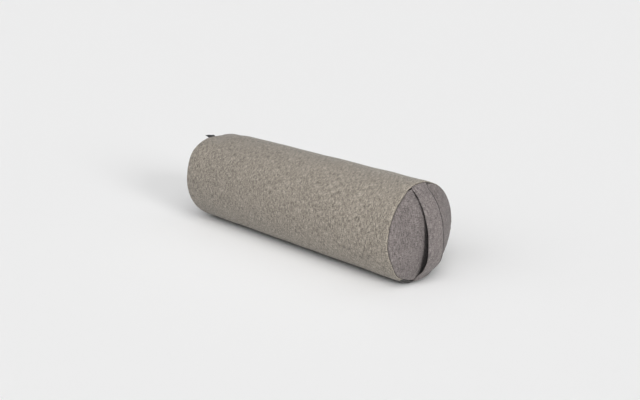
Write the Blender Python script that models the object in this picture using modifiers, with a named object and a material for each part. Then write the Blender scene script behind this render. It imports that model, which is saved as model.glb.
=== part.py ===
"""Round meditation bolster: a zipped outer cover with a carry handle on one end,
around a sewn liner packed with fibre.

Metres, +Z up. The bolster lies along X with the handle at +X, on the flat that
its own weight presses into its underside, at Z = 0.
"""

import math

import bmesh
import bpy
from mathutils import Matrix, Vector

MM = 0.001

# ---------------------------------------------------------------- dimensions
RADIUS = 0.110            # outer radius of the stuffed cover
SEAM_LENGTH = 0.655       # from one end seam to the other
FLAT_DEPTH = 0.004        # how far the underside is pressed flat
DOME = 0.0260             # how far an end panel bulges past its seam
FAR_DROOP = 0.0100        # how far the top of the far end hangs below round
FAR_SHOULDER = 0.0050     # how far its front shoulder stands out
NEAR_LIFT = 0.0064        # how far the handle end's seam is drawn up off the floor
FABRIC = 0.0009           # cover fabric
LINER = 0.0007            # liner fabric
GAP = 0.00035             # clearance that touching fabrics keep
FLANGE = 0.0080           # seam allowance turned inside

STRAP_WIDTH = 0.051
STRAP_THICK = 0.0018      # two plies
STRAP_OUT = 0.0412        # outer face of the handle past the seam, at mid height

ZIP_ANGLE = math.radians(26.25)   # on the back, measured up from +Y
ZIP_HALF = 0.265          # half the length of the opening
SLOT_WIDTH = 0.012
SLIDER_LENGTH = 0.012
SLIDER_X = -0.249         # slider's middle when the zip is closed

STEPS = 48                # facets around the cover
INNER_STEPS = 24          # facets around the liner and the filling
HALF = SEAM_LENGTH / 2
AXIS_Z = RADIUS - FLAT_DEPTH
# The bounding box is centred on X = 0, so the seams sit a little towards -X.
X_SHIFT = -(STRAP_OUT - DOME) / 2

# ------------------------------------------------------------------ the scene
for old in list(bpy.data.objects):
    bpy.data.objects.remove(old, do_unlink=True)


def collection(name):
    made = bpy.data.collections.new(name)
    bpy.context.scene.collection.children.link(made)
    return made


PARTS = collection("meditation_bolster")
CUTTERS = collection("cutters")
CUTTERS.hide_render = True


def material(name, colour, roughness, metallic=0.0):
    made = bpy.data.materials.new(name)
    made.use_nodes = True
    shader = made.node_tree.nodes["Principled BSDF"]
    shader.inputs["Base Color"].default_value = (*colour, 1.0)
    shader.inputs["Roughness"].default_value = roughness
    shader.inputs["Metallic"].default_value = metallic
    return made


# ------------------------------------------------------------- small helpers
def smooth(low, high, value):
    """0 at low, 1 at high, and eased between; low may be the larger."""
    t = min(1.0, max(0.0, (value - low) / (high - low)))
    return t * t * (3 - 2 * t)


def arc(centre, radius, start, end, count):
    """Points on an arc, from one angle to another, in degrees."""
    found = []
    for i in range(count):
        a = math.radians(start + (end - start) * i / (count - 1))
        found.append((centre[0] + radius * math.cos(a), centre[1] + radius * math.sin(a)))
    return found


def link(obj, where=PARTS):
    where.objects.link(obj)
    return obj


def evaluated_copy(obj, name):
    """A mesh object holding what obj's modifiers make; obj is removed."""
    bpy.context.view_layer.update()
    graph = bpy.context.evaluated_depsgraph_get()
    mesh = bpy.data.meshes.new_from_object(obj.evaluated_get(graph))
    made = bpy.data.objects.new(name, mesh)
    made.matrix_world = obj.matrix_world
    link(made)
    bpy.data.objects.remove(obj, do_unlink=True)
    return made


def turned(name, profile, paint, steps=STEPS):
    """Turns a profile of (x, radius) points about the bolster's axis."""
    mesh = bpy.data.meshes.new(name + "_profile")
    points = [(x, 0.0, r) for x, r in profile]
    mesh.from_pydata(points, [(i, i + 1) for i in range(len(points) - 1)], [])
    obj = link(bpy.data.objects.new(name + "_profile", mesh))
    screw = obj.modifiers.new("turn", "SCREW")
    screw.axis = "X"
    screw.angle = 2 * math.pi
    screw.steps = screw.render_steps = steps
    screw.use_merge_vertices = True
    screw.merge_threshold = 0.00001
    made = evaluated_copy(obj, name)
    made.data.materials.clear()
    made.data.materials.append(paint)
    return made


def face_outwards(obj, probe):
    """Flips the whole surface if its faces lean away from the way probe(centre) points."""
    mesh = obj.data
    lean = sum(face.area * face.normal.dot(probe(face.center)) for face in mesh.polygons)
    if lean < 0:
        mesh.flip_normals()


def thicken(obj, thickness, even=True):
    solid = obj.modifiers.new("fabric", "SOLIDIFY")
    solid.thickness = thickness
    solid.offset = -1.0
    solid.use_even_offset = even
    solid.use_quality_normals = True
    return solid


def shade(obj, degrees=40):
    obj.data.shade_smooth()
    obj.data.set_sharp_from_angle(angle=math.radians(degrees))


# ------------------------------------------- how the stuffed shape is not round
def apart(angle, other):
    """Degrees between two angles in radians."""
    return abs(math.degrees(math.atan2(math.sin(angle - other), math.cos(angle - other))))


def seam_drift(angle):
    """How far the handle end's seam wanders along X: in where the handle is sewn
    in at the top, and out lower down, where the filling sags."""
    s = math.sin(angle)
    return MM * (
        4.5 * smooth(0.0, 0.50, -s) * smooth(0.62, -0.10, math.cos(angle))
        - 3.0 * smooth(0.0, 1.0, s)
        - 5.5 * (1 - smooth(13.0, 36.0, apart(angle, math.pi / 2)))
        + 2.0 * math.exp(-((apart(angle, math.radians(-157)) / 12.0) ** 2))
    )


def settle(point):
    """Moves a point of the ideal round bolster to where the stuffed one has it.
    It is one smooth map of space, so that nested layers keep their clearances."""
    x, y, z = point
    up = z - AXIS_Z
    r = math.hypot(y, up)
    # the handle end's seam
    near = smooth(HALF - 0.090, HALF - 0.008, x)
    if near > 0 and r > 1e-9:
        x += seam_drift(math.atan2(up, y)) * near * smooth(0.045, 0.100, r)
    # the top of the far end, which the filling doesn't quite reach
    far = 1 - smooth(-HALF + 0.008, -HALF + 0.085, point[0])
    z -= FAR_DROOP * far * math.exp(-(((y - 0.004) / 0.041) ** 2)) * smooth(0.020, 0.092, up)
    # and its front shoulder, which it fills a little too well
    full = FAR_SHOULDER * far * smooth(0.050, 0.095, r)
    full *= math.exp(-((apart(math.atan2(up, y), math.radians(141)) / 19.0) ** 2))
    y -= full * 0.73
    z += full * 0.68
    # the flat underside
    if up < 0 and abs(y) < RADIUS:
        circle = AXIS_Z - math.sqrt(RADIUS * RADIUS - y * y)
        if circle < 0:
            z -= circle * (1 - smooth(0.004, 0.060, z))
    # and the edge of it at the handle end
    drawn = smooth(-0.026, -0.002, point[0] - HALF) * (1 - 0.60 * smooth(-0.040, -0.008, y))
    z += NEAR_LIFT * drawn * (1 - smooth(0.006, 0.036, z))
    return Vector((x + X_SHIFT, y, z))


def settle_mesh(obj):
    for vertex in obj.data.vertices:
        vertex.co = settle(vertex.co)
    obj.data.update()


def onto_axis(obj):
    """A turned piece is made about X through the origin; this lifts it to the axis."""
    obj.data.transform(Matrix.Translation((0, 0, AXIS_Z)))


# --------------------------------------------------------- end seam cross-section
# In (x past the seam, radius), for the +X end. Both panels turn in at the seam
# and their allowances run inwards together at 45 degrees.
DOWN = (-math.sqrt(0.5), -math.sqrt(0.5))


def along(start, distance):
    return (start[0] + DOWN[0] * distance, start[1] + DOWN[1] * distance)


def dome_x(r, rim_x=0.0009, rim_r=0.1064, height=None):
    height = DOME if height is None else height
    return rim_x + (height - rim_x) * (1 - (r / rim_r) ** 2.4)


BODY_FOLD = arc((-0.00182, 0.10782), 0.0013, 78, -45, 5)
BODY_EDGE = [
    (-0.0120, 0.1100),
    (-0.0055, 0.1096),
    *BODY_FOLD,
    along(BODY_FOLD[-1], FLANGE),
]

DOME_RADII = [0.0, 0.024, 0.044, 0.061, 0.075, 0.087, 0.097]


def end_profile(shift):
    """The end panel's outer face, centre to allowance. shift is what is sewn in
    under its rim: nothing, the handle's end or the label's."""
    if shift == 0:
        centre, radius, rim = (0.00003, 0.10591), 0.0010, 0.1040
    else:
        # the fold sits lower, so that the sewn-in piece passes over it
        radius = 0.0006
        outer = shift - GAP + radius + GAP
        centre = (-0.000677 + outer * math.sqrt(0.5), 0.10662 - outer * math.sqrt(0.5))
        rim = centre[1] - 0.0016
    fold = arc(centre, radius, 29.5, 135, 4)
    return (
        [(dome_x(r), r) for r in DOME_RADII]
        + [(dome_x(rim), rim)]
        + fold
        + [along(fold[-1], FLANGE)]
    )


def mirrored(profile):
    return [(-x, r) for x, r in profile]


# ------------------------------------------------------------------- materials
BODY_FABRIC = material("body_fabric", (0.27, 0.25, 0.22), 0.95)
END_FABRIC = material("end_fabric", (0.22, 0.20, 0.20), 0.95)
TAPE = material("zip_tape", (0.20, 0.19, 0.19), 0.9)
COIL = material("zip_coil", (0.16, 0.15, 0.15), 0.45)
METAL = material("zip_metal", (0.45, 0.45, 0.46), 0.35, 1.0)
LABEL = material("label_ribbon", (0.02, 0.02, 0.02), 0.7)
CALICO = material("calico", (0.72, 0.66, 0.55), 0.95)
FIBRE = material("fibre", (0.85, 0.83, 0.78), 1.0)

# --------------------------------------------------------------- the body panel
# Rings are closer together towards the ends, where the shape departs from round.
near_edge = [(HALF + x, r) for x, r in BODY_EDGE]
far_edge = [(-HALF - x, r) for x, r in BODY_EDGE]
middle = [
    (x, RADIUS)
    for x in (
        -0.3010, -0.2840, -0.2660, -0.2450, 0.0,
        0.2350, 0.2600, 0.2800, 0.2980,
    )
]
body = turned("cover_body_panel", far_edge[::-1] + middle + near_edge, BODY_FABRIC)
face_outwards(body, lambda c: Vector((0, c.y, c.z)) if math.hypot(c.y, c.z) > 0.1095 else Vector((0, 0, 0)))
onto_axis(body)
settle_mesh(body)
thicken(body, FABRIC)

# The opening for the zip: a straight slot through the back of the panel.
OUT = Vector((0, math.cos(ZIP_ANGLE), math.sin(ZIP_ANGLE)))       # away from the axis
ACROSS = Vector((0, -math.sin(ZIP_ANGLE), math.cos(ZIP_ANGLE)))   # up, across the zip
# Row axes in the zip's own frame: x along it, y across it, z out of the bolster.
ZIP_FRAME = Matrix(
    (
        (1, 0, 0, X_SHIFT),
        (0, ACROSS.y, OUT.y, 0),
        (0, ACROSS.z, OUT.z, AXIS_Z),
        (0, 0, 0, 1),
    )
)
# x, across and out are left-handed in that order, so across is turned round.
ZIP_FRAME = ZIP_FRAME @ Matrix.Scale(-1, 4, (0, 1, 0))


def zip_point(x, across, out):
    return ZIP_FRAME @ Vector((x, -across, out))


def box(name, low, high, paint=None, bevel=0.0, where=PARTS, frame=ZIP_FRAME):
    """A box in the zip's frame, or another, from a cube primitive."""
    bpy.ops.mesh.primitive_cube_add(size=1.0)
    obj = bpy.context.active_object
    obj.name = obj.data.name = name
    for held in list(obj.users_collection):
        held.objects.unlink(obj)
    link(obj, where)
    size = [h - l for l, h in zip(low, high)]
    centre = [(h + l) / 2 for l, h in zip(low, high)]
    obj.data.transform(Matrix.Diagonal((*size, 1.0)))
    obj.data.transform(Matrix.Translation((centre[0], -centre[1], centre[2])))
    obj.matrix_world = frame
    if bevel:
        mod = obj.modifiers.new("round", "BEVEL")
        mod.width = bevel
        mod.segments = 2
        mod.limit_method = "ANGLE"
    if paint:
        obj.data.materials.append(paint)
    return obj


def join(target, other):
    """A Boolean union that takes other into target."""
    mod = target.modifiers.new("join_" + other.name, "BOOLEAN")
    mod.operation = "UNION"
    mod.solver = "EXACT"
    mod.object = other
    return mod


def origin_at(obj, point):
    """Puts the object's origin at a point and leaves its shape where it is."""
    obj.data.transform(Matrix.Translation(-point))
    obj.location = point


def cutter(obj):
    obj.hide_render = True
    obj.display_type = "WIRE"
    return obj


slot_cutter = cutter(
    box(
        "slot_cutter",
        (-ZIP_HALF, -SLOT_WIDTH / 2, 0.1000),
        (ZIP_HALF, SLOT_WIDTH / 2, 0.1200),
        where=CUTTERS,
    )
)
cut = body.modifiers.new("zip_opening", "BOOLEAN")
cut.operation = "DIFFERENCE"
cut.solver = "EXACT"
cut.object = slot_cutter
shade(body)


# ---------------------------------------------------------------- end panels
def end_panel(name, side, sewn_in, centre_deg, half_deg):
    """A domed round panel. Over the arc where something is sewn into its seam,
    the rim is eased inwards to make room for it."""
    plain = end_profile(0)
    eased = end_profile(sewn_in)
    profile = [(HALF + x, r) for x, r in plain]
    obj = turned(name, profile if side > 0 else mirrored(profile), END_FABRIC)
    at = {}
    for (ax, ar), (bx, br) in zip(plain, eased):
        at[(round((HALF + ax) * 1e6), round(ar * 1e6))] = (bx - ax, br - ar)
    keys = list(at)
    for vertex in obj.data.vertices:
        x, y, z = vertex.co
        r = math.hypot(y, z)
        if r < 1e-6:
            continue
        key = min(keys, key=lambda k: abs(k[0] - abs(x) * 1e6) + abs(k[1] - r * 1e6))
        angle = math.degrees(math.atan2(z, y))
        share = 0.0
        for c in centre_deg:
            away = abs((angle - c + 180) % 360 - 180)
            share = max(share, 1 - smooth(half_deg, half_deg + 7.4, away))
        dx, dr = at[key]
        vertex.co.x += side * dx * share
        vertex.co.y *= (r + dr * share) / r
        vertex.co.z *= (r + dr * share) / r
    face_outwards(
        obj,
        lambda c: Vector((side, 0, 0)) if math.hypot(c.y, c.z) < 0.098 else Vector((0, 0, 0)),
    )
    onto_axis(obj)
    settle_mesh(obj)
    thicken(obj, FABRIC)
    shade(obj)
    return obj


STRAP_SEAM = STRAP_THICK + 2 * GAP
LABEL_THICK = 0.0008
LABEL_SEAM = LABEL_THICK + 2 * GAP
LABEL_ANGLE = 101.6
LABEL_WIDTH = 0.0212
LABEL_SKEW = 0.30         # it is sewn in askew, so one side stands out further

end_panel("end_panel_handle_side", 1, STRAP_SEAM, (90.0, -90.0), 15.2)
end_panel("end_panel_label_side", -1, LABEL_SEAM, (LABEL_ANGLE,), 7.7)

# ------------------------------------------------------------------- handle
# The handle's outer face, as (x past the seam, height above the axis), on the
# settled shape: it lies near the panel at the top, stands off it at mid height
# and hangs slacker towards the bottom.
HANDLE_FACE = [
    (0.0041, 0.0920), (0.0090, 0.0855), (0.0138, 0.0785), (0.0189, 0.0710),
    (0.0240, 0.0620), (0.0285, 0.0520), (0.0323, 0.0410), (0.0353, 0.0300),
    (0.0378, 0.0185), (0.0397, 0.0070), (0.0408, -0.0045), (0.0412, -0.0160),
    (0.0412, -0.0270), (0.0406, -0.0375), (0.0390, -0.0480), (0.0358, -0.0580),
    (0.0318, -0.0675), (0.0273, -0.0765), (0.0222, -0.0850), (0.0170, -0.0920),
]


def handle_wrap(count):
    """The sewn end's outer face: up between the allowances and over the fold."""
    outer = STRAP_THICK + GAP + 0.0006
    centre = (-0.000677 + outer * math.sqrt(0.5), 0.10662 - outer * math.sqrt(0.5))
    fold = arc(centre, outer, 135, 29.5, count)
    return [along(fold[0], FLANGE - 0.0006), along(fold[0], 0.0035), *fold]


def unsettled_x(x, up):
    """The x that settle() carries to x, on the handle's middle line."""
    return x - seam_drift(math.copysign(math.pi / 2, up)) * smooth(0.045, 0.100, abs(up))


def handle_path():
    """(x past the seam, height above the axis) of the outer face, top to bottom,
    before settling."""
    top = handle_wrap(6)
    bottom = [(x, -z) for x, z in handle_wrap(6)]
    over = STRAP_THICK + GAP + 0.0002
    hug = [(dome_x(r) + over, r) for r in (0.1010, 0.0970)]
    loose = [(dome_x(0.0985) + over + 0.0008, -0.0985)]
    free = [(unsettled_x(x, z), z) for x, z in HANDLE_FACE]
    return top + hug + free + loose + bottom[::-1]


def strap_course(up):
    """How wide the handle is at a height above the axis, of its full width, and how
    far aside of the middle it runs: it is gathered narrower towards the top seam."""
    share = 1 - 0.066 * smooth(0.030, 0.085, up) + 0.040 * smooth(-0.010, -0.070, up)
    aside = 0.0015 * smooth(0.080, 0.050, abs(up)) + 0.0006 * smooth(0.060, 0.085, up)
    aside = aside - 0.0030 * smooth(0.083, 0.097, up)
    share = share - 0.060 * smooth(-0.060, -0.088, up)
    aside = aside - 0.0016 * smooth(-0.055, -0.085, up)
    return share, aside


def strap_twist(x, up, y):
    """How far the handle's left edge stands out below its top seam."""
    below = smooth(0.0018, 0.0055, x) * smooth(0.1045, 0.0985, up) * smooth(0.080, 0.096, up)
    return 0.0046 * below * smooth(0.012, -0.022, y)


def strip(name, path, paint, width, thickness):
    """A strip of webbing whose outer face follows path, curved across its width
    to the round seam at its sewn ends. Made from a grid primitive."""
    across = [-1.0, -0.52, 0.0, 0.52, 1.0]
    bpy.ops.mesh.primitive_grid_add(
        x_subdivisions=len(across) - 1, y_subdivisions=len(path) - 1, size=2.0
    )
    obj = bpy.context.active_object
    obj.name = obj.data.name = name
    for held in list(obj.users_collection):
        held.objects.unlink(obj)
    link(obj)
    columns = sorted({round(v.co.x, 5) for v in obj.data.vertices})
    rows = sorted({round(v.co.y, 5) for v in obj.data.vertices})
    for vertex in obj.data.vertices:
        i = columns.index(round(vertex.co.x, 5))
        j = rows.index(round(vertex.co.y, 5))
        x, up = path[j]
        share, aside = strap_course(up)
        y = across[i] * width / 2 * share + aside
        # polar at the seam, straight across in the middle
        polar = smooth(0.068, 0.094, abs(up))
        arc_up = math.copysign(math.sqrt(max(up * up - y * y, 0.0)), up)
        rise = up + (arc_up - up) * polar
        vertex.co = settle((HALF + x + strap_twist(x, up, y), y, AXIS_Z + rise))
    face_outwards(obj, lambda c: Vector((1, 0, 0)) if abs(c.z - AXIS_Z) < 0.09 else Vector((0.6, 0, c.z - AXIS_Z)))
    thicken(obj, thickness)
    obj.data.materials.append(paint)
    shade(obj)
    return obj


def between(path, top, bottom):
    """The part of a path between two heights, and one point more at each cut."""
    inside = [i for i, (_, up) in enumerate(path) if bottom < up < top]
    return path[max(inside[0] - 1, 0) : inside[-1] + 2]


def keep(obj, top, bottom):
    """Cuts away what lies above one height and below another."""
    for name, low, high in (("above", top, 1.0), ("below", -1.0, bottom)):
        if abs(low) < 0.5 or abs(high) < 0.5:
            off = cutter(
                box(
                    obj.name + "_" + name,
                    (HALF - 0.05, -0.05, AXIS_Z + max(low, -0.2)),
                    (HALF + 0.08, 0.05, AXIS_Z + min(high, 0.2)),
                    where=CUTTERS,
                    frame=Matrix.Identity(4),
                )
            )
            cut = obj.modifiers.new(name, "BOOLEAN")
            cut.operation = "DIFFERENCE"
            cut.solver = "EXACT"
            cut.object = off


GRIP_TOP, GRIP_BOTTOM = 0.0570, -0.0530
path = handle_path()
for name, top, bottom in (
    ("handle_top_end", 1.0, GRIP_TOP + GAP / 2),
    ("handle_grip", GRIP_TOP - GAP / 2, GRIP_BOTTOM + GAP / 2),
    ("handle_bottom_end", GRIP_BOTTOM - GAP / 2, -1.0),
):
    made = strip(name, between(path, top, bottom), END_FABRIC, STRAP_WIDTH, STRAP_THICK)
    keep(made, top, bottom)
    if name == "handle_grip":
        origin_at(made, Vector((HALF + STRAP_OUT + X_SHIFT, 0, AXIS_Z)))

# -------------------------------------------------------------------- label
# A blank folded ribbon sewn into the far seam, near the top. Its tail lies
# between the allowances, and its flap stands out of the seam.


def label_piece(name, points, skew):
    """points are (x past the far seam, radius) on the ribbon's middle plane."""
    bpy.ops.mesh.primitive_grid_add(x_subdivisions=2, y_subdivisions=len(points) - 1, size=2.0)
    obj = bpy.context.active_object
    obj.name = obj.data.name = name
    for held in list(obj.users_collection):
        held.objects.unlink(obj)
    link(obj)
    rows = sorted({round(v.co.y, 5) for v in obj.data.vertices})
    for vertex in obj.data.vertices:
        x, r = points[rows.index(round(vertex.co.y, 5))]
        share = 1 + skew * vertex.co.x
        x, r = points[0][0] + (x - points[0][0]) * share, points[0][1] + (r - points[0][1]) * share
        angle = math.radians(LABEL_ANGLE) + vertex.co.x * LABEL_WIDTH / 2 / 0.1072
        vertex.co = settle((-HALF - x, r * math.cos(angle), AXIS_Z + r * math.sin(angle)))
    solid = thicken(obj, LABEL_THICK)
    solid.offset = 0.0
    obj.data.materials.append(LABEL)
    shade(obj)
    return obj


def label_points():
    """The ribbon's middle plane: up between the allowances and straight out."""
    outer = LABEL_THICK / 2
    base = (-0.000677 + outer * math.sqrt(0.5), 0.10662 - outer * math.sqrt(0.5))
    tail = [along(base, FLANGE - 0.0006), along(base, 0.0035), along(base, 0.0)]
    root = along(base, -0.0008)
    flap = [along(base, -0.0008 - 0.0011)]
    flap += [
        (flap[0][0] + 0.0022, flap[0][1] + 0.0014),
        (flap[0][0] + 0.0052, flap[0][1] + 0.0026),
        (flap[0][0] + 0.0095, flap[0][1] + 0.0038),
    ]
    return tail + [root], flap


label_tail, label_flap = label_points()
label_piece("label_tail", label_tail, 0.0)
flap = label_piece("label_flap", label_flap, LABEL_SKEW)
# The flap bends about the middle of the gap between it and the tail.
bend_x, bend_r = [(a + b) / 2 for a, b in zip(label_tail[-1], label_flap[0])]
bend = settle(
    (
        -HALF - bend_x,
        bend_r * math.cos(math.radians(LABEL_ANGLE)),
        AXIS_Z + bend_r * math.sin(math.radians(LABEL_ANGLE)),
    )
)
origin_at(flap, bend)

# ---------------------------------------------------------------------- zip
# Levels out from the axis, in the zip's frame.
TAPE_OUT, TAPE_THICK = 0.10845, 0.00055
TAPE_EDGE = 0.0170
COIL_IN, COIL_OUT, COIL_EDGE = 0.10875, 0.11055, 0.0034
POST = 0.0006
FREE = POST + 0.0003      # tapes and coils keep this far from the middle line


def zip_tape(name, sign):
    """A flat tape that bends back with the panel that it is sewn to."""
    face = [(FREE, TAPE_OUT), (0.0071, TAPE_OUT), (TAPE_EDGE, 0.1072)]
    bpy.ops.mesh.primitive_grid_add(x_subdivisions=1, y_subdivisions=2, size=2.0)
    obj = bpy.context.active_object
    obj.name = obj.data.name = name
    for held in list(obj.users_collection):
        held.objects.unlink(obj)
    link(obj)
    rows = sorted({round(v.co.y, 5) for v in obj.data.vertices})
    for vertex in obj.data.vertices:
        across, out = face[rows.index(round(vertex.co.y, 5))]
        vertex.co = zip_point(vertex.co.x * (ZIP_HALF + 0.007), sign * across, out)
    face_outwards(obj, lambda c: OUT)
    thicken(obj, TAPE_THICK)
    obj.data.materials.append(TAPE)
    return obj


zip_tape("zip_tape_upper", 1)
zip_tape("zip_tape_lower", -1)
COIL_HALF = 0.2575
for name, sign in (("zip_coil_upper", 1), ("zip_coil_lower", -1)):
    low, high = sorted((sign * FREE, sign * COIL_EDGE))
    box(name, (-COIL_HALF, low, COIL_IN), (COIL_HALF, high, COIL_OUT), COIL, bevel=0.0005)
for name, sign in (("zip_top_stop_upper", 1), ("zip_top_stop_lower", -1)):
    low, high = sorted((sign * FREE, sign * 0.0040))
    box(name, (-COIL_HALF - 0.0033, low, COIL_IN), (-COIL_HALF - 0.0003, high, 0.1109), METAL, bevel=0.0003)
box(
    "zip_bottom_stop",
    (COIL_HALF + 0.0003, -0.0040, COIL_IN),
    (COIL_HALF + 0.0048, 0.0040, 0.1109),
    METAL,
    bevel=0.0003,
)

# Slider: two plates on a post, with lips at the sides and a bridge for the pull.
TOP_IN, TOP_OUT = 0.11085, 0.11205
BOTTOM_IN, BOTTOM_OUT = 0.10640, 0.10760
PIVOT = 0.11345           # the pull's axis, out from the bolster's
S = SLIDER_LENGTH / 2
slider = box(
    "zip_slider",
    (SLIDER_X - S, -0.0047, TOP_IN),
    (SLIDER_X + S, 0.0047, TOP_OUT),
    METAL,
)
at_slider = Matrix.Translation((SLIDER_X, 0, PIVOT))
slider.data.transform(at_slider.inverted())
slider.matrix_world = ZIP_FRAME @ at_slider
slider_pieces = [
    box("slider_bottom", (SLIDER_X - S, -0.0044, BOTTOM_IN), (SLIDER_X + S, 0.0044, BOTTOM_OUT), METAL, where=CUTTERS),
    box("slider_post", (SLIDER_X - S + 0.0006, -POST, BOTTOM_OUT - 0.0004), (SLIDER_X - S + 0.0040, POST, TOP_IN + 0.0004), METAL, where=CUTTERS),
    box("slider_lip_upper", (SLIDER_X - S + 0.0008, 0.0037, 0.10890), (SLIDER_X + S, 0.0047, TOP_IN + 0.0004), METAL, where=CUTTERS),
    box("slider_lip_lower", (SLIDER_X - S + 0.0008, -0.0047, 0.10890), (SLIDER_X + S, -0.0037, TOP_IN + 0.0004), METAL, where=CUTTERS),
    box("slider_bridge", (SLIDER_X - 0.0040, -0.0011, TOP_OUT - 0.0004), (SLIDER_X + 0.0040, 0.0011, PIVOT + 0.0018), METAL, where=CUTTERS),
]
for piece in slider_pieces:
    cutter(piece)
    join(slider, piece)
window = cutter(
    box("slider_window", (SLIDER_X - 0.0029, -0.0020, PIVOT - 0.0010), (SLIDER_X + 0.0029, 0.0020, PIVOT + 0.0009), where=CUTTERS)
)
cut = slider.modifiers.new("window", "BOOLEAN")
cut.operation = "DIFFERENCE"
cut.solver = "EXACT"
cut.object = window

# Pull: a bar through the bridge, two arms and a flat tab lying towards +X.
bpy.ops.mesh.primitive_cylinder_add(vertices=12, radius=0.00055, depth=0.0050)
pull = bpy.context.active_object
pull.name = pull.data.name = "zip_pull"
for held in list(pull.users_collection):
    held.objects.unlink(pull)
link(pull)
pull.data.transform(Matrix.Rotation(math.pi / 2, 4, "X"))
pull.matrix_world = ZIP_FRAME @ at_slider
pull.data.materials.append(METAL)
pull_pieces = []
for name, sign in (("pull_arm_upper", 1), ("pull_arm_lower", -1)):
    low, high = sorted((sign * 0.0015, sign * 0.0027))
    pull_pieces.append(
        box(name, (SLIDER_X - 0.0007, low, PIVOT - 0.0006), (SLIDER_X + 0.0085, high, PIVOT + 0.0006), METAL, where=CUTTERS)
    )
pull_pieces.append(
    box("pull_plate", (SLIDER_X + 0.0062, -0.0036, PIVOT - 0.0006), (SLIDER_X + 0.0300, 0.0036, PIVOT + 0.0006), METAL, where=CUTTERS)
)
for piece in pull_pieces:
    cutter(piece)
    join(pull, piece)
pull_hole = cutter(
    box("pull_hole", (SLIDER_X + 0.0235, -0.0016, PIVOT - 0.0020), (SLIDER_X + 0.0268, 0.0016, PIVOT + 0.0020), where=CUTTERS)
)
cut = pull.modifiers.new("cord_hole", "BOOLEAN")
cut.operation = "DIFFERENCE"
cut.solver = "EXACT"
cut.object = pull_hole

# -------------------------------------------------------------------- liner
LINER_R = 0.1085
ZIP_DENT = 0.1056         # the liner lies this far in behind the zip


def dent(obj, depth):
    """Presses the surface in behind the zip, so that the tapes and slider clear it."""
    for vertex in obj.data.vertices:
        x, y, z = vertex.co
        out = y * OUT.y + z * OUT.z
        limit = depth + 0.006 * smooth(0.274, 0.290, abs(x))
        if out > limit:
            vertex.co -= OUT * (out - limit)


LINER_END = [
    (-0.0270, LINER_R), (-0.0200, 0.1076), (-0.0155, 0.1053), (-0.0130, 0.1022), (-0.0121, 0.0992),
]
LINER_RINGS = [
    (x, LINER_R) for x in (-0.291, -0.282, -0.274, -0.252, 0.0, 0.252, 0.274, 0.282, 0.291)
]


def liner_dome(r, inset=0.0):
    return -0.0121 + (0.0240 + 0.0121) * (1 - (r / 0.0992) ** 2.4) - inset


tube = turned(
    "liner_tube",
    [(-HALF - x, r) for x, r in LINER_END[::-1]] + LINER_RINGS + [(HALF + x, r) for x, r in LINER_END],
    CALICO,
    INNER_STEPS,
)
face_outwards(tube, lambda c: Vector((0, c.y, c.z)))
dent(tube, ZIP_DENT)
onto_axis(tube)
settle_mesh(tube)
thicken(tube, LINER)
shade(tube)

# The round ends: a dome whose edge laps inside the tube's.
LAP = [(-0.0132 - 0.0004, 0.0978), (-0.0146, 0.1004), (-0.0170, 0.1029), (-0.0212, 0.1052)]
for name, side in (("liner_end_handle_side", 1), ("liner_end_label_side", -1)):
    profile = [(liner_dome(r), r) for r in (0.0, 0.022, 0.043, 0.062, 0.078, 0.090)] + [(-0.0110, 0.0962)] + LAP
    obj = turned(name, [(side * (HALF + x), r) for x, r in profile], CALICO, INNER_STEPS)
    face_outwards(obj, lambda c, side=side: Vector((side, 0, 0)) if math.hypot(c.y, c.z) < 0.094 else Vector((0, 0, 0)))
    onto_axis(obj)
    settle_mesh(obj)
    thicken(obj, LINER)
    shade(obj)

# ------------------------------------------------------------------- filling
FILL_R = 0.1073
FILL_END = [(-0.0320, FILL_R), (-0.0260, 0.1062), (-0.0225, 0.1035), (-0.0200, 0.1000), (-0.0165, 0.0950)]
fill_dome = [(liner_dome(r, 0.0019), r) for r in (0.088, 0.074, 0.056, 0.034, 0.0)]
half_profile = FILL_END + fill_dome
rings = [(x, FILL_R) for x in (-0.290, -0.282, -0.274, -0.252, 0.0, 0.252, 0.274, 0.282, 0.290)]
filling = turned(
    "fibre_filling",
    [(-HALF - x, r) for x, r in half_profile[::-1]] + rings + [(HALF + x, r) for x, r in half_profile],
    FIBRE,
    INNER_STEPS,
)
mesh = bmesh.new()
mesh.from_mesh(filling.data)
bmesh.ops.remove_doubles(mesh, verts=mesh.verts, dist=0.00001)
bmesh.ops.recalc_face_normals(mesh, faces=mesh.faces)
mesh.to_mesh(filling.data)
mesh.free()
dent(filling, ZIP_DENT - LINER - 0.0004)
onto_axis(filling)
settle_mesh(filling)
shade(filling)
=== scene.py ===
"""Looks of the round meditation bolster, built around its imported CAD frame.

Metres, +Z up, the same frame as the CAD: the bolster lies along X with its
handle at +X, and rests on the floor at Z = 0.
"""

import math

import bpy
import numpy as np
from mathutils import Matrix, Vector


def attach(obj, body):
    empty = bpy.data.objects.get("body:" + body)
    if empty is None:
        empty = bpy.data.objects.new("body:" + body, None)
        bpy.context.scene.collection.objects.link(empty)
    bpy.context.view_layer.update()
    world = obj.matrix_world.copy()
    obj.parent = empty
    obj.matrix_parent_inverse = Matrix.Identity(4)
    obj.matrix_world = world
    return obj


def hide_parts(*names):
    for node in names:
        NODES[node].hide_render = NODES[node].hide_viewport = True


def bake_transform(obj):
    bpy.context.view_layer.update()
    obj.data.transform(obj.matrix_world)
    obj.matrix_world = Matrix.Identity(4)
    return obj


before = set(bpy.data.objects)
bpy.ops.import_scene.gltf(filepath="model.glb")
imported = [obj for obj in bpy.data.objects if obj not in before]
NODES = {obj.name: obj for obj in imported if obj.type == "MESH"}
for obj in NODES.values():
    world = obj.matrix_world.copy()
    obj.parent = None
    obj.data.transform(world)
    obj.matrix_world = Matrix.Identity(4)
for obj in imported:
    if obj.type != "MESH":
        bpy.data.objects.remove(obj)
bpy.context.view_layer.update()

SCENE = bpy.context.scene
MM = 0.001

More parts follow.
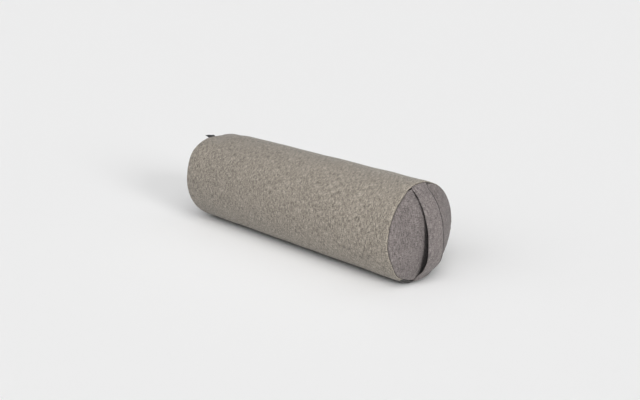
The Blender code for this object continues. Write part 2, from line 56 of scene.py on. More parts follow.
# ------------------------------------------------ sizes repeated from the CAD
RADIUS = 0.110
HALF = 0.3275
FLAT_DEPTH = 0.004
DOME = 0.0260
FAR_DROOP = 0.0100
FAR_SHOULDER = 0.0050
NEAR_LIFT = 0.0064
FABRIC = 0.0009
LINER = 0.0007
GAP = 0.00035
FLANGE = 0.0080
STRAP_WIDTH = 0.051
STRAP_THICK = 0.0018
STRAP_OUT = 0.0412
AXIS_Z = RADIUS - FLAT_DEPTH
X_SHIFT = -(STRAP_OUT - DOME) / 2
ZIP_ANGLE = math.radians(26.25)
LABEL_ANGLE = 101.6
LABEL_WIDTH = 0.0212
LABEL_SKEW = 0.30
LABEL_THICK = 0.0008
SLIDER_X = -0.249
PIVOT = 0.11345


# ------------------------------------------------------------- small helpers
def smooth(low, high, value):
    """0 at low, 1 at high, and eased between; low may be the larger."""
    t = np.clip((np.asarray(value, float) - low) / (high - low), 0.0, 1.0)
    return t * t * (3 - 2 * t)


def apart(angle, other):
    """Degrees between two angles in radians."""
    return np.abs(np.degrees(np.arctan2(np.sin(angle - other), np.cos(angle - other))))


def seam_drift(angle):
    s = np.sin(angle)
    return MM * (
        4.5 * smooth(0.0, 0.50, -s) * smooth(0.62, -0.10, np.cos(angle))
        - 3.0 * smooth(0.0, 1.0, s)
        - 5.5 * (1 - smooth(13.0, 36.0, apart(angle, math.pi / 2)))
        + 2.0 * np.exp(-((apart(angle, math.radians(-157)) / 12.0) ** 2))
    )


def settle(x, y, z):
    """Where the stuffed bolster has a point of the ideal round one, as the CAD does."""
    x, y, z = (np.array(v, float) for v in np.broadcast_arrays(x, y, z))
    start_x = x.copy()
    up = z - AXIS_Z
    r = np.hypot(y, up)
    angle = np.arctan2(up, y)
    near = smooth(HALF - 0.090, HALF - 0.008, x)
    x = x + seam_drift(angle) * near * smooth(0.045, 0.100, r)
    far = 1 - smooth(-HALF + 0.008, -HALF + 0.085, start_x)
    z = z - FAR_DROOP * far * np.exp(-(((y - 0.004) / 0.041) ** 2)) * smooth(0.020, 0.092, up)
    full = FAR_SHOULDER * far * smooth(0.050, 0.095, r)
    full = full * np.exp(-((apart(angle, math.radians(141)) / 19.0) ** 2))
    y = y - full * 0.73
    z = z + full * 0.68
    circle = AXIS_Z - np.sqrt(np.maximum(RADIUS * RADIUS - y * y, 0.0))
    press = (up < 0) & (np.abs(y) < RADIUS) & (circle < 0)
    z = np.where(press, z - circle * (1 - smooth(0.004, 0.060, z)), z)
    past = start_x - HALF
    rise = smooth(-0.0090, -0.0022, past) * (1 - 0.60 * smooth(-0.040, -0.008, y))
    z = z + NEAR_LIFT * rise * (1 - smooth(0.006, 0.036, z))
    return np.stack([x + X_SHIFT, y, z], axis=-1)


def ideal(x, r, angle):
    """A point of the ideal round bolster, settled."""
    return settle(x, r * np.cos(angle), AXIS_Z + r * np.sin(angle))


def arc(centre, radius, start, end, count):
    a = np.radians(np.linspace(start, end, count))
    return [(centre[0] + radius * math.cos(t), centre[1] + radius * math.sin(t)) for t in a]


ROOT_HALF = math.sqrt(0.5)


def along(start, distance):
    """A point further down the seam allowances, which run inwards at 45 degrees."""
    return (start[0] - ROOT_HALF * distance, start[1] - ROOT_HALF * distance)


def dome_x(r, rim_x=0.0009, rim_r=0.1064):
    return rim_x + (DOME - rim_x) * (1 - (r / rim_r) ** 2.4)


def curve(points, per=12):
    """A smooth line through the points."""
    p = np.asarray(points, float)
    step = np.diff(p, axis=0)
    h = np.maximum(np.linalg.norm(step, axis=1), 1e-9)[:, None]
    slope = step / h
    m = np.empty_like(p)
    m[0], m[-1] = slope[0], slope[-1]
    m[1:-1] = (slope[:-1] * h[1:] + slope[1:] * h[:-1]) / (h[1:] + h[:-1])
    t = np.linspace(0, 1, per, endpoint=False)[None, :, None]
    a, b, ma, mb = p[:-1, None], p[1:, None], (m[:-1] * h)[:, None], (m[1:] * h)[:, None]
    line = (
        a * (2 * t**3 - 3 * t**2 + 1)
        + ma * (t**3 - 2 * t**2 + t)
        + b * (3 * t**2 - 2 * t**3)
        + mb * (t**3 - t**2)
    )
    return np.vstack([line.reshape(-1, p.shape[1]), p[-1:]])


def lengths(line):
    """How far along a line each of its points is."""
    return np.concatenate([[0.0], np.cumsum(np.linalg.norm(np.diff(line, axis=0), axis=1))])


def resampled(line, at):
    have = lengths(line)
    return np.stack([np.interp(at, have, line[:, i]) for i in range(line.shape[1])], axis=1)


def unit(v):
    return v / np.maximum(np.linalg.norm(v, axis=-1, keepdims=True), 1e-12)


def normals_of(grid, wrap, outwards):
    """Unit normals of a grid of points; outwards is a rough way out at each."""
    down = np.gradient(grid, axis=0)
    if wrap:
        side = np.roll(grid, -1, axis=1) - np.roll(grid, 1, axis=1)
    else:
        side = np.gradient(grid, axis=1)
    n = unit(np.cross(side, down))
    return n if (n * outwards).sum() > 0 else -n


# ----------------------------------------------------------- uneven surfaces
def periodic(angle, seed, modes):
    """A smooth random curve round the circle, about -1 to 1."""
    rng = np.random.default_rng(seed)
    total, power = np.zeros_like(angle), 0.0
    for m in modes:
        a = rng.uniform(0.4, 1.0)
        total = total + a * np.cos(m * angle + rng.uniform(0, 2 * math.pi))
        power += a * a / 2
    return total / (2.0 * math.sqrt(power))


def puckers(angle, distance, seed, count, depth, reach):
    """Gathers that run straight away from a seam and fade with distance from it.
    One seed gives both sides of a seam the same gathers."""
    phase = count * angle + 2.4 * periodic(angle, seed, range(3, 12))
    phase = phase + 1.1 * periodic(angle, seed + 1, range(9, 26))
    strength = np.clip(0.55 + 0.75 * periodic(angle, seed + 2, range(5, 30)), 0.0, 1.5)
    length = reach * (0.85 + 0.5 * periodic(angle, seed + 3, range(4, 24)))
    fade = np.exp(-((np.maximum(distance, 0) / np.maximum(length, 0.15 * reach)) ** 1.4))
    return depth * strength * fade * np.cos(phase)


def lumps(x, angle, seed=5):
    """The filling's own unevenness: soft swells 60 to 200 mm across."""
    rng = np.random.default_rng(seed)
    total = np.zeros(np.broadcast(x, angle).shape)
    for _ in range(16):
        m = int(rng.integers(1, 8))
        k = 2 * math.pi / rng.uniform(0.075, 0.26) * rng.choice([-1, 1])
        total = total + rng.uniform(0.4, 1.0) * np.cos(m * angle + k * x + rng.uniform(0, 6.28))
    return 0.00034 * total / 2.1


# ------------------------------------------------------------- mesh building
class Build:
    """Collects grids, strips and threads of one piece."""

    def __init__(self):
        self.points, self.cloth, self.quads, self.paints, self.others = [], [], [], [], []
        self.edges, self.shades = [], []
        self.count = 0

    def add(self, points, cloth=None, edge=1.0, shade=1.0):
        """Adds an array of points, and returns their numbers in its shape. edge is each
        one's distance from the nearest seam, and shade how pale it is of its colour."""
        points = np.asarray(points, float)
        shape = points.shape[:-1]
        flat = points.reshape(-1, 3)
        if cloth is None:
            cloth = points
        cloth = np.broadcast_to(np.asarray(cloth, float), points.shape).reshape(-1, 3)
        self.points.append(flat)
        self.cloth.append(cloth)
        self.edges.append(np.broadcast_to(np.asarray(edge, float), shape).ravel())
        self.shades.append(np.broadcast_to(np.asarray(shade, float), shape).ravel())
        numbers = self.count + np.arange(len(flat)).reshape(shape)
        self.count += len(flat)
        return numbers

    def quad(self, a, b, c, d, paint=0):
        """Faces from four arrays of numbers."""
        q = np.stack([np.ravel(v) for v in (a, b, c, d)], axis=1)
        self.quads.append(q)
        self.paints.append(np.full(len(q), paint))

    def grid(self, numbers, wrap=False, flip=False, paint=0):
        if wrap:
            numbers = np.concatenate([numbers, numbers[:, :1]], axis=1)
        a, b, c, d = numbers[:-1, :-1], numbers[:-1, 1:], numbers[1:, 1:], numbers[1:, :-1]
        self.quad(*((a, d, c, b) if flip else (a, b, c, d)), paint)

    def polygon(self, corners, paint=0):
        self.others.append((tuple(int(c) for c in corners), paint))

    def made(self, name, materials, flat=False):
        faces = [tuple(q) for q in np.concatenate(self.quads).tolist()] if self.quads else []
        paints = list(np.concatenate(self.paints)) if self.quads else []
        faces += [f for f, _ in self.others]
        paints += [p for _, p in self.others]
        mesh = bpy.data.meshes.new(name)
        mesh.from_pydata(np.concatenate(self.points).tolist(), [], faces)
        mesh.polygons.foreach_set("material_index", np.array(paints, np.int32))
        mesh.polygons.foreach_set("use_smooth", np.full(len(faces), not flat))
        layer = mesh.attributes.new("cloth", "FLOAT_VECTOR", "POINT")
        layer.data.foreach_set("vector", np.concatenate(self.cloth).astype(np.float32).ravel())
        for attribute, values in (("edge", self.edges), ("shade", self.shades)):
            layer = mesh.attributes.new(attribute, "FLOAT", "POINT")
            layer.data.foreach_set("value", np.concatenate(values).astype(np.float32))
        for m in materials:
            mesh.materials.append(m)
        mesh.validate()
        mesh.update()
        obj = bpy.data.objects.new(name, mesh)
        SCENE.collection.objects.link(obj)
        return obj


def facing_out(obj):
    """Turns a closed mesh's faces out, by the sign of its volume."""
    mesh = obj.data
    mesh.calc_loop_triangles()
    co = np.empty(len(mesh.vertices) * 3, np.float64)
    mesh.vertices.foreach_get("co", co)
    tri = np.empty(len(mesh.loop_triangles) * 3, np.int64)
    mesh.loop_triangles.foreach_get("vertices", tri)
    corners = co.reshape(-1, 3)[tri.reshape(-1, 3)]
    if np.linalg.det(corners - corners.mean((0, 1))).sum() < 0:
        mesh.flip_normals()
    return obj


def thread(build, line, radius, paint, sides=6, twist=0.0):
    """A closed tube along a line, thinner at its ends, where it dives into the cloth."""
    line = np.asarray(line, float)
    way = unit(np.gradient(line, axis=0))
    side = np.cross(way, np.array([0.31, 0.17, 0.93]))
    side = unit(np.where(np.linalg.norm(side, axis=1, keepdims=True) < 1e-3, [[1.0, 0, 0]], side))
    other = np.cross(way, side)
    a = np.linspace(0, 2 * math.pi, sides, endpoint=False)
    thin = np.ones(len(line))
    thin[0] = thin[-1] = 0.45
    rings = line[:, None] + (radius * thin)[:, None, None] * (
        np.cos(a)[None, :, None] * side[:, None] + np.sin(a)[None, :, None] * other[:, None]
    )
    cloth = np.zeros(rings.shape)
    cloth[..., 0] = lengths(line)[:, None] + twist
    cloth[..., 1] = a[None] / (2 * math.pi)
    numbers = build.add(rings, cloth)
    build.grid(numbers, wrap=True, flip=True, paint=paint)
    build.polygon(numbers[0], paint)
    build.polygon(numbers[-1][::-1], paint)


# ------------------------------------------------------------------ materials
class Net:
    """Short names for the shader nodes that the materials use."""

    def __init__(self, name):
        self.material = bpy.data.materials.new(name)
        self.material.use_nodes = True
        self.tree = self.material.node_tree
        self.shader = self.tree.nodes["Principled BSDF"]

    def put(self, socket, value):
        if isinstance(value, bpy.types.NodeSocket):
            self.tree.links.new(value, socket)
        elif value is not None:
            socket.default_value = value

    def math(self, operation, a, b=None, c=None, clamp=False):
        node = self.tree.nodes.new("ShaderNodeMath")
        node.operation = operation
        node.use_clamp = clamp
        for socket, value in zip(node.inputs, (a, b, c)):
            self.put(socket, value)
        return node.outputs[0]

    def vector(self, x, y, z=0.0):
        node = self.tree.nodes.new("ShaderNodeCombineXYZ")
        for socket, value in zip(node.inputs, (x, y, z)):
            self.put(socket, value)
        return node.outputs[0]

    def split(self, vector):
        node = self.tree.nodes.new("ShaderNodeSeparateXYZ")
        self.put(node.inputs[0], vector)
        return node.outputs

    def cloth(self):
        node = self.tree.nodes.new("ShaderNodeAttribute")
        node.attribute_name = "cloth"
        return node.outputs["Vector"]

    def attribute(self, name):
        node = self.tree.nodes.new("ShaderNodeAttribute")
        node.attribute_name = name
        return node.outputs["Fac"]

    def object_place(self):
        return self.tree.nodes.new("ShaderNodeTexCoord").outputs["Object"]

    def noise(self, vector, scale=1.0, detail=2.0, roughness=0.5, lacunarity=2.0):
        node = self.tree.nodes.new("ShaderNodeTexNoise")
        self.put(node.inputs["Vector"], vector)
        node.inputs["Scale"].default_value = scale
        node.inputs["Detail"].default_value = detail
        node.inputs["Roughness"].default_value = roughness
        node.inputs["Lacunarity"].default_value = lacunarity
        return node.outputs["Fac"]

    def ramp(self, value, stops, ease="LINEAR"):
        node = self.tree.nodes.new("ShaderNodeValToRGB")
        node.color_ramp.interpolation = ease
        points = node.color_ramp.elements
        while len(points) < len(stops):
            points.new(0.5)
        for point, (at, colour) in zip(points, stops):
            point.position = at
            point.color = (*colour, 1.0)
        self.put(node.inputs[0], value)
        return node.outputs[0]

    def mix(self, share, a, b, kind="MIX"):
        node = self.tree.nodes.new("ShaderNodeMix")
        node.data_type = "RGBA"
        node.blend_type = kind
        node.clamp_factor = True
        self.put(node.inputs[0], share)
        for socket, value in ((node.inputs[6], a), (node.inputs[7], b)):
            self.put(socket, (*value, 1.0) if isinstance(value, tuple) and len(value) == 3 else value)
        return node.outputs[2]

    def span(self, value, low, high, to_low=0.0, to_high=1.0):
        node = self.tree.nodes.new("ShaderNodeMapRange")
        for socket, v in zip(node.inputs, (value, low, high, to_low, to_high)):
            self.put(socket, v)
        return node.outputs[0]

    def bump(self, height, strength, distance, under=None):
        node = self.tree.nodes.new("ShaderNodeBump")
        node.inputs["Strength"].default_value = strength
        node.inputs["Distance"].default_value = distance
        self.put(node.inputs["Height"], height)
        if under is not None:
            self.put(node.inputs["Normal"], under)
        return node.outputs[0]

    def finish(self, colour=None, roughness=None, normal=None, **constant):
        for name, value in (("Base Color", colour), ("Roughness", roughness), ("Normal", normal)):
            self.put(self.shader.inputs[name], value)
        for name, value in constant.items():
            self.shader.inputs[name.replace("_", " ")].default_value = value
        return self.material


def heather(name, tones, pitch=0.00088, streak=1.0, speck=1.0, sheen=0.40, seed=0.0, far=1.0, slubs=1.35, ribs=0.95):
    """A plain weave of melange yarns: each thread has its own run of pale and dark
    slubs. tones are dark, middle and pale. It reads the cloth attribute: u runs along
    the weft, v along the warp, both in metres as the cloth was cut. The far end of
    the cloth has the tone far. slubs and ribs are the weft's and the warp's streaks."""
    n = Net(name)
    u, v, part = n.split(n.cloth())
    cu, cv = n.math("DIVIDE", u, pitch), n.math("DIVIDE", v, pitch)
    iu, iv = n.math("FLOOR", cu), n.math("FLOOR", cv)
    fu = n.math("SUBTRACT", n.math("FRACT", cu), 0.5)
    fv = n.math("SUBTRACT", n.math("FRACT", cv), 0.5)
    odd = n.math("FLOORED_MODULO", n.math("ADD", iu, iv), 2.0)
    # slubs along each weft thread, and along each warp thread
    weft = n.noise(n.vector(n.math("MULTIPLY", u, 130.0), n.math("MULTIPLY", iv, 3.71), n.math("ADD", part, 3.1 + seed)), 1.0, 2.0, 0.62)
    warp = n.noise(n.vector(n.math("MULTIPLY", v, 170.0), n.math("MULTIPLY", iu, 3.71), n.math("ADD", part, 17.4 + seed)), 1.0, 2.0, 0.62)
    thread_tone = n.math("ADD", n.math("MULTIPLY", weft, odd), n.math("MULTIPLY", warp, n.math("SUBTRACT", 1.0, odd)))
    # flecks a thread or two wide and several long, which is what shows from afar
    fleck = n.noise(n.vector(n.math("MULTIPLY", u, 600.0 / streak), n.math("MULTIPLY", v, 900.0), n.math("ADD", part, 40.0 + seed)), 1.0, 1.5, 0.55)
    slub = n.noise(n.vector(n.math("MULTIPLY", u, 95.0 / streak), n.math("MULTIPLY", v, 700.0), n.math("ADD", part, 93.0 + seed)), 1.0, 1.0, 0.5)
    cross = n.noise(n.vector(n.math("MULTIPLY", u, 680.0), n.math("MULTIPLY", v, 110.0), n.math("ADD", part, 71.0 + seed)), 1.0, 1.0, 0.5)
    cloud = n.noise(n.vector(n.math("MULTIPLY", u, 22.0), n.math("MULTIPLY", v, 34.0), n.math("ADD", part, 5.0 + seed)), 1.0, 3.0, 0.55)
    tone = n.math("MULTIPLY", n.math("SUBTRACT", thread_tone, 0.5), 0.80)
    tone = n.math("ADD", tone, n.math("MULTIPLY", n.math("SUBTRACT", fleck, 0.5), 1.75 * speck))
    tone = n.math("ADD", tone, n.math("MULTIPLY", n.math("SUBTRACT", slub, 0.5), slubs * speck))
    tone = n.math("ADD", tone, n.math("MULTIPLY", n.math("SUBTRACT", cross, 0.5), ribs * speck))
    tone = n.math("ADD", tone, n.math("MULTIPLY", n.math("SUBTRACT", cloud, 0.5), 0.34))
    tone = n.math("ADD", tone, 0.5, clamp=True)
    dark, middle, pale = tones
    colour = n.ramp(tone, [(0.05, dark), (0.47, middle), (0.53, middle), (0.95, pale)])
    # painted shade darkens the hollows between threads, and loose fibres pale them again
    hump_u = n.math("SUBTRACT", 1.0, n.math("MULTIPLY", n.math("MULTIPLY", fu, fu), 3.6))
    hump_v = n.math("SUBTRACT", 1.0, n.math("MULTIPLY", n.math("MULTIPLY", fv, fv), 3.6))
    over = n.math("MULTIPLY", hump_v, n.math("ADD", n.math("MULTIPLY", hump_u, 0.35), 0.65))
    under = n.math("MULTIPLY", hump_u, n.math("ADD", n.math("MULTIPLY", hump_v, 0.35), 0.65))
    height = n.math("ADD", n.math("MULTIPLY", over, odd), n.math("MULTIPLY", under, n.math("SUBTRACT", 1.0, odd)))
    fuzz = n.noise(n.vector(n.math("MULTIPLY", u, 2600.0), n.math("MULTIPLY", v, 2600.0), part), 1.0, 2.0, 0.6)
    shade = n.span(height, 0.0, 1.0, 0.80, 1.05)
    shade = n.math("MULTIPLY", shade, n.span(fuzz, 0.25, 0.75, 0.94, 1.06))
    # painted shade: the cloth darkens towards its far end to the tone far, where less light falls
    shade = n.math("MULTIPLY", shade, n.span(v, 0.33, -0.20, far, 1.0))
    # painted shade darkens the seams, and a painted highlight pales the fold beside them
    seam = n.ramp(n.math("MULTIPLY", n.attribute("edge"), 100.0), SEAM_PAINTED_LIGHT)
    shade = n.math("MULTIPLY", shade, n.math("MULTIPLY", seam, 1.12))
    # the shade attribute brings in painted shade under the bolster, behind the handle and on the handle end's bottom
    # rim
    shade = n.math("MULTIPLY", shade, n.attribute("shade"))
    colour = n.mix(1.0, colour, n.vector(shade, shade, shade), "MULTIPLY")
    lifted = n.math("ADD", n.math("MULTIPLY", height, 0.8), n.math("MULTIPLY", fuzz, 0.35))
    lifted = n.math("ADD", lifted, n.math("MULTIPLY", slub, 0.9))
    normal = n.bump(lifted, 0.55, 0.00018)
    rough = n.span(fuzz, 0.3, 0.7, 0.86, 0.98)
    return n.finish(colour, rough, normal, Sheen_Weight=sheen, Sheen_Roughness=0.5, Specular_IOR_Level=0.22)


# at each distance from a seam, in centimetres, how pale the cloth is: painted shade in the seam, a painted highlight on
# the fold beside it
SEAM_PAINTED_LIGHT = [
    (at, (tone / 1.12,) * 3)
    for at, tone in ((0.00, 0.22), (0.05, 0.30), (0.17, 0.97), (0.34, 1.12), (0.60, 1.03), (0.90, 1.0))
]


def sewing_thread(name, colour):
    """Two-ply polyester thread: its plies wind round it."""
    n = Net(name)
    s, t, _ = n.split(n.cloth())
    turn = n.math("ADD", n.math("DIVIDE", s, 0.00075), t)
    ply = n.math("ABSOLUTE", n.math("SUBTRACT", n.math("FRACT", n.math("MULTIPLY", turn, 2.0)), 0.5))
    fibre = n.noise(n.vector(n.math("MULTIPLY", s, 5200.0), n.math("MULTIPLY", t, 6.0)), 1.0, 2.0)
    tone = n.math("ADD", n.math("MULTIPLY", ply, 1.1), n.math("MULTIPLY", fibre, 0.45), clamp=True)
    # painted light and shade: the plies are paler on their crowns and darker in the grooves between them
    pale = tuple(min(1.0, c * 1.12) for c in colour)
    dark = tuple(c * 0.62 for c in colour)
    shown = n.ramp(tone, [(0.1, pale), (0.75, dark)])
    normal = n.bump(n.math("MULTIPLY", ply, -1.0), 0.5, 0.00010)
    return n.finish(shown, n.span(fibre, 0.3, 0.7, 0.48, 0.66), normal, Sheen_Weight=0.15)


def tape_weave(name, colour):
    """The zip's tape: a fine herringbone twill, read in the zip's own frame."""
    n = Net(name)
    x, y, z = n.split(n.object_place())
    across = n.math("ADD", n.math("MULTIPLY", y, -math.sin(ZIP_ANGLE)), n.math("MULTIPLY", n.math("SUBTRACT", z, AXIS_Z), math.cos(ZIP_ANGLE)))
    band = n.math("PINGPONG", n.math("DIVIDE", across, 0.0024), 1.0)
    rib = n.math("FRACT", n.math("ADD", n.math("DIVIDE", x, 0.00056), n.math("MULTIPLY", band, 2.4)))
    rib = n.math("ABSOLUTE", n.math("SUBTRACT", rib, 0.5))
    grain = n.noise(n.vector(n.math("MULTIPLY", x, 1800.0), n.math("MULTIPLY", across, 3600.0)), 1.0, 2.0)
    tone = n.math("ADD", n.math("MULTIPLY", rib, 1.2), n.math("MULTIPLY", grain, 0.5), clamp=True)
    # painted light and shade: the twill's ribs are paler on their crowns and darker in the grooves
    shown = n.ramp(tone, [(0.15, tuple(c * 1.18 for c in colour)), (0.85, tuple(c * 0.6 for c in colour))])
    return n.finish(shown, n.span(grain, 0.3, 0.7, 0.72, 0.9), n.bump(n.math("MULTIPLY", rib, -1.0), 0.6, 0.00012), Sheen_Weight=0.1)


def nylon(name, colour):
    """The zip's coil: a drawn nylon filament, slightly clear and satin."""
    n = Net(name)
    s, t, _ = n.split(n.cloth())
    drawn = n.noise(n.vector(n.math("MULTIPLY", s, 700.0), n.math("MULTIPLY", t, 9.0)), 1.0, 3.0)
    shown = n.ramp(drawn, [(0.3, tuple(c * 0.82 for c in colour)), (0.7, tuple(c * 1.14 for c in colour))])
    return n.finish(shown, n.span(drawn, 0.3, 0.7, 0.34, 0.50), n.bump(drawn, 0.25, 0.00003), Coat_Weight=0.15, Coat_Roughness=0.3)


def satin_metal(name, colour):
    """Plated zinc: satin, with cloudy wear and fine scratches."""
    n = Net(name)
    place = n.object_place()
    cloudy = n.noise(place, 420.0, 3.0, 0.6)
    x, y, z = n.split(place)
    scratch = n.noise(n.vector(n.math("MULTIPLY", x, 900.0), n.math("MULTIPLY", y, 9000.0), n.math("MULTIPLY", z, 9000.0)), 1.0, 2.0)
    shown = n.ramp(cloudy, [(0.3, tuple(c * 0.86 for c in colour)), (0.7, tuple(min(1.0, c * 1.08) for c in colour))])
    rough = n.math("ADD", n.span(cloudy, 0.3, 0.7, 0.22, 0.38), n.span(scratch, 0.55, 0.8, 0.0, 0.14))
    return n.finish(shown, rough, n.bump(n.math("ADD", scratch, n.math("MULTIPLY", cloudy, 0.6)), 0.18, 0.00004), Metallic=1.0)


def ribbon(name, colour):
    """The label's black ribbon: fine ribs across it and a thicker selvedge."""
    n = Net(name)
    u, v, _ = n.split(n.cloth())
    rib = n.math("ABSOLUTE", n.math("SUBTRACT", n.math("FRACT", n.math("DIVIDE", v, 0.00042)), 0.5))
    warp = n.math("ABSOLUTE", n.math("SUBTRACT", n.math("FRACT", n.math("DIVIDE", u, 0.00030)), 0.5))
    lint = n.noise(n.vector(n.math("MULTIPLY", u, 900.0), n.math("MULTIPLY", v, 1700.0)), 1.0, 3.0)
    tone = n.math("ADD", n.math("MULTIPLY", n.math("ADD", rib, warp), 0.7), n.math("MULTIPLY", lint, 0.4), clamp=True)
    # painted light and shade: the ribs are paler on their crowns and darker in the grooves
    shown = n.ramp(tone, [(0.2, tuple(c * 1.7 for c in colour)), (0.9, tuple(c * 0.55 for c in colour))])
    height = n.math("ADD", n.math("MULTIPLY", rib, -1.0), n.math("MULTIPLY", warp, -0.5))
    return n.finish(shown, n.span(lint, 0.3, 0.7, 0.5, 0.68), n.bump(height, 0.5, 0.00008), Sheen_Weight=0.2, Sheen_Roughness=0.4)


def plain_cotton(name, colour):
    """The liner's unbleached calico, with dark seed flecks."""
    n = Net(name)
    u, v, part = n.split(n.cloth())
    wu = n.math("SINE", n.math("MULTIPLY", u, 2 * math.pi / 0.0012))
    wv = n.math("SINE", n.math("MULTIPLY", v, 2 * math.pi / 0.0012))
    weave = n.math("MULTIPLY", wu, wv)
    cloud = n.noise(n.vector(n.math("MULTIPLY", u, 120.0), n.math("MULTIPLY", v, 300.0), part), 1.0, 4.0, 0.6)
    seed = n.noise(n.vector(n.math("MULTIPLY", u, 420.0), n.math("MULTIPLY", v, 420.0), n.math("ADD", part, 9.0)), 1.0, 1.0)
    shown = n.ramp(cloud, [(0.3, tuple(c * 0.84 for c in colour)), (0.7, tuple(min(1.0, c * 1.08) for c in colour))])
    shown = n.mix(n.span(seed, 0.73, 0.80, 0.0, 0.7), shown, tuple(c * 0.35 for c in colour))
    return n.finish(shown, n.span(cloud, 0.3, 0.7, 0.84, 0.96), n.bump(n.math("ADD", weave, n.math("MULTIPLY", cloud, 0.8)), 0.4, 0.00014), Sheen_Weight=0.15)


def loose_fibre(name, colour):
    """The filling: tangled white fibre."""
    n = Net(name)
    place = n.object_place()
    tangle = n.noise(place, 260.0, 6.0, 0.68)
    tuft = n.noise(place, 38.0, 4.0, 0.6)
    tone = n.math("ADD", n.math("MULTIPLY", tangle, 0.6), n.math("MULTIPLY", tuft, 0.4))
    shown = n.ramp(tone, [(0.35, tuple(c * 0.78 for c in colour)), (0.65, colour)])
    normal = n.bump(tangle, 0.7, 0.0008, n.bump(tuft, 0.6, 0.004))
    return n.finish(shown, n.span(tangle, 0.3, 0.7, 0.9, 1.0), normal, Sheen_Weight=0.4, Sheen_Roughness=0.6)


BODY_CLOTH = heather("body_heather", ((0.096, 0.084, 0.070), (0.270, 0.238, 0.199), (0.490, 0.439, 0.370)), speck=1.62, sheen=0.20, far=0.85, slubs=1.30, ribs=0.70)
END_CLOTH = heather("end_heather", ((0.070, 0.061, 0.060), (0.169, 0.147, 0.142), (0.300, 0.268, 0.258)), streak=1.2, speck=1.16, sheen=0.12, seed=31.0)
SEAM_THREAD = sewing_thread("seam_thread", (0.30, 0.27, 0.245))
STRAP_THREAD = sewing_thread("strap_thread", (0.25, 0.225, 0.225))
TAPE = tape_weave("zip_tape_twill", (0.21, 0.195, 0.185))
COIL = nylon("zip_coil_nylon", (0.17, 0.158, 0.15))
METAL = satin_metal("zip_plated_zinc", (0.62, 0.62, 0.63))
RIBBON = ribbon("label_ribbon_black", (0.011, 0.011, 0.012))
CALICO = plain_cotton("liner_calico", (0.66, 0.60, 0.49))
FIBRE = loose_fibre("filling_fibre", (0.84, 0.83, 0.80))


# ------------------------------------------------ the cover, swollen as cloth
SIM_ROUND, SIM_RINGS, SIM_DISC = 128, 121, 16


def disc_place(r, angle, rim):
    """Where a point of a disc is on the simulation's square grid, in cells."""
    ring = np.clip(r / rim, 0.0, 1.0) * SIM_DISC
    quarter = np.floor((angle + math.pi / 4) / (math.pi / 2)).astype(int) % 4
    off = np.arctan2(np.sin(angle - quarter * math.pi / 2), np.cos(angle - quarter * math.pi / 2))
    side = ring * off / (math.pi / 4)
    x = np.choose(quarter, [ring, -side, -ring, side])
    y = np.choose(quarter, [side, ring, -side, -ring])
    return x + SIM_DISC, y + SIM_DISC


def blurred(field, cells, wrap):
    """A Gaussian blur, round the circle along the second axis if it wraps."""
    reach = int(3 * cells) + 1
    weights = np.exp(-0.5 * (np.arange(-reach, reach + 1) / cells) ** 2)
    weights /= weights.sum()
    for axis in (0, 1):
        mode = "wrap" if wrap and axis == 1 else "edge"
        pad = [(0, 0), (0, 0)]
        pad[axis] = (reach, reach)
        wide = np.pad(field, pad, mode=mode)
        field = sum(
            w * np.take(wide, np.arange(i, i + field.shape[axis]), axis=axis)
            for i, w in enumerate(weights)
        )
    return field


def kept_wrinkles(field, wrap):
    """The wrinkles of a swollen surface without its swelling, tamed and capped."""
    fine = blurred(field, 0.7, wrap) - blurred(field, 3.6, wrap)
    fine *= 0.0008 / max(np.percentile(np.abs(fine), 98.5), 1e-6)
    return np.clip(fine, -0.00045, 0.0013)


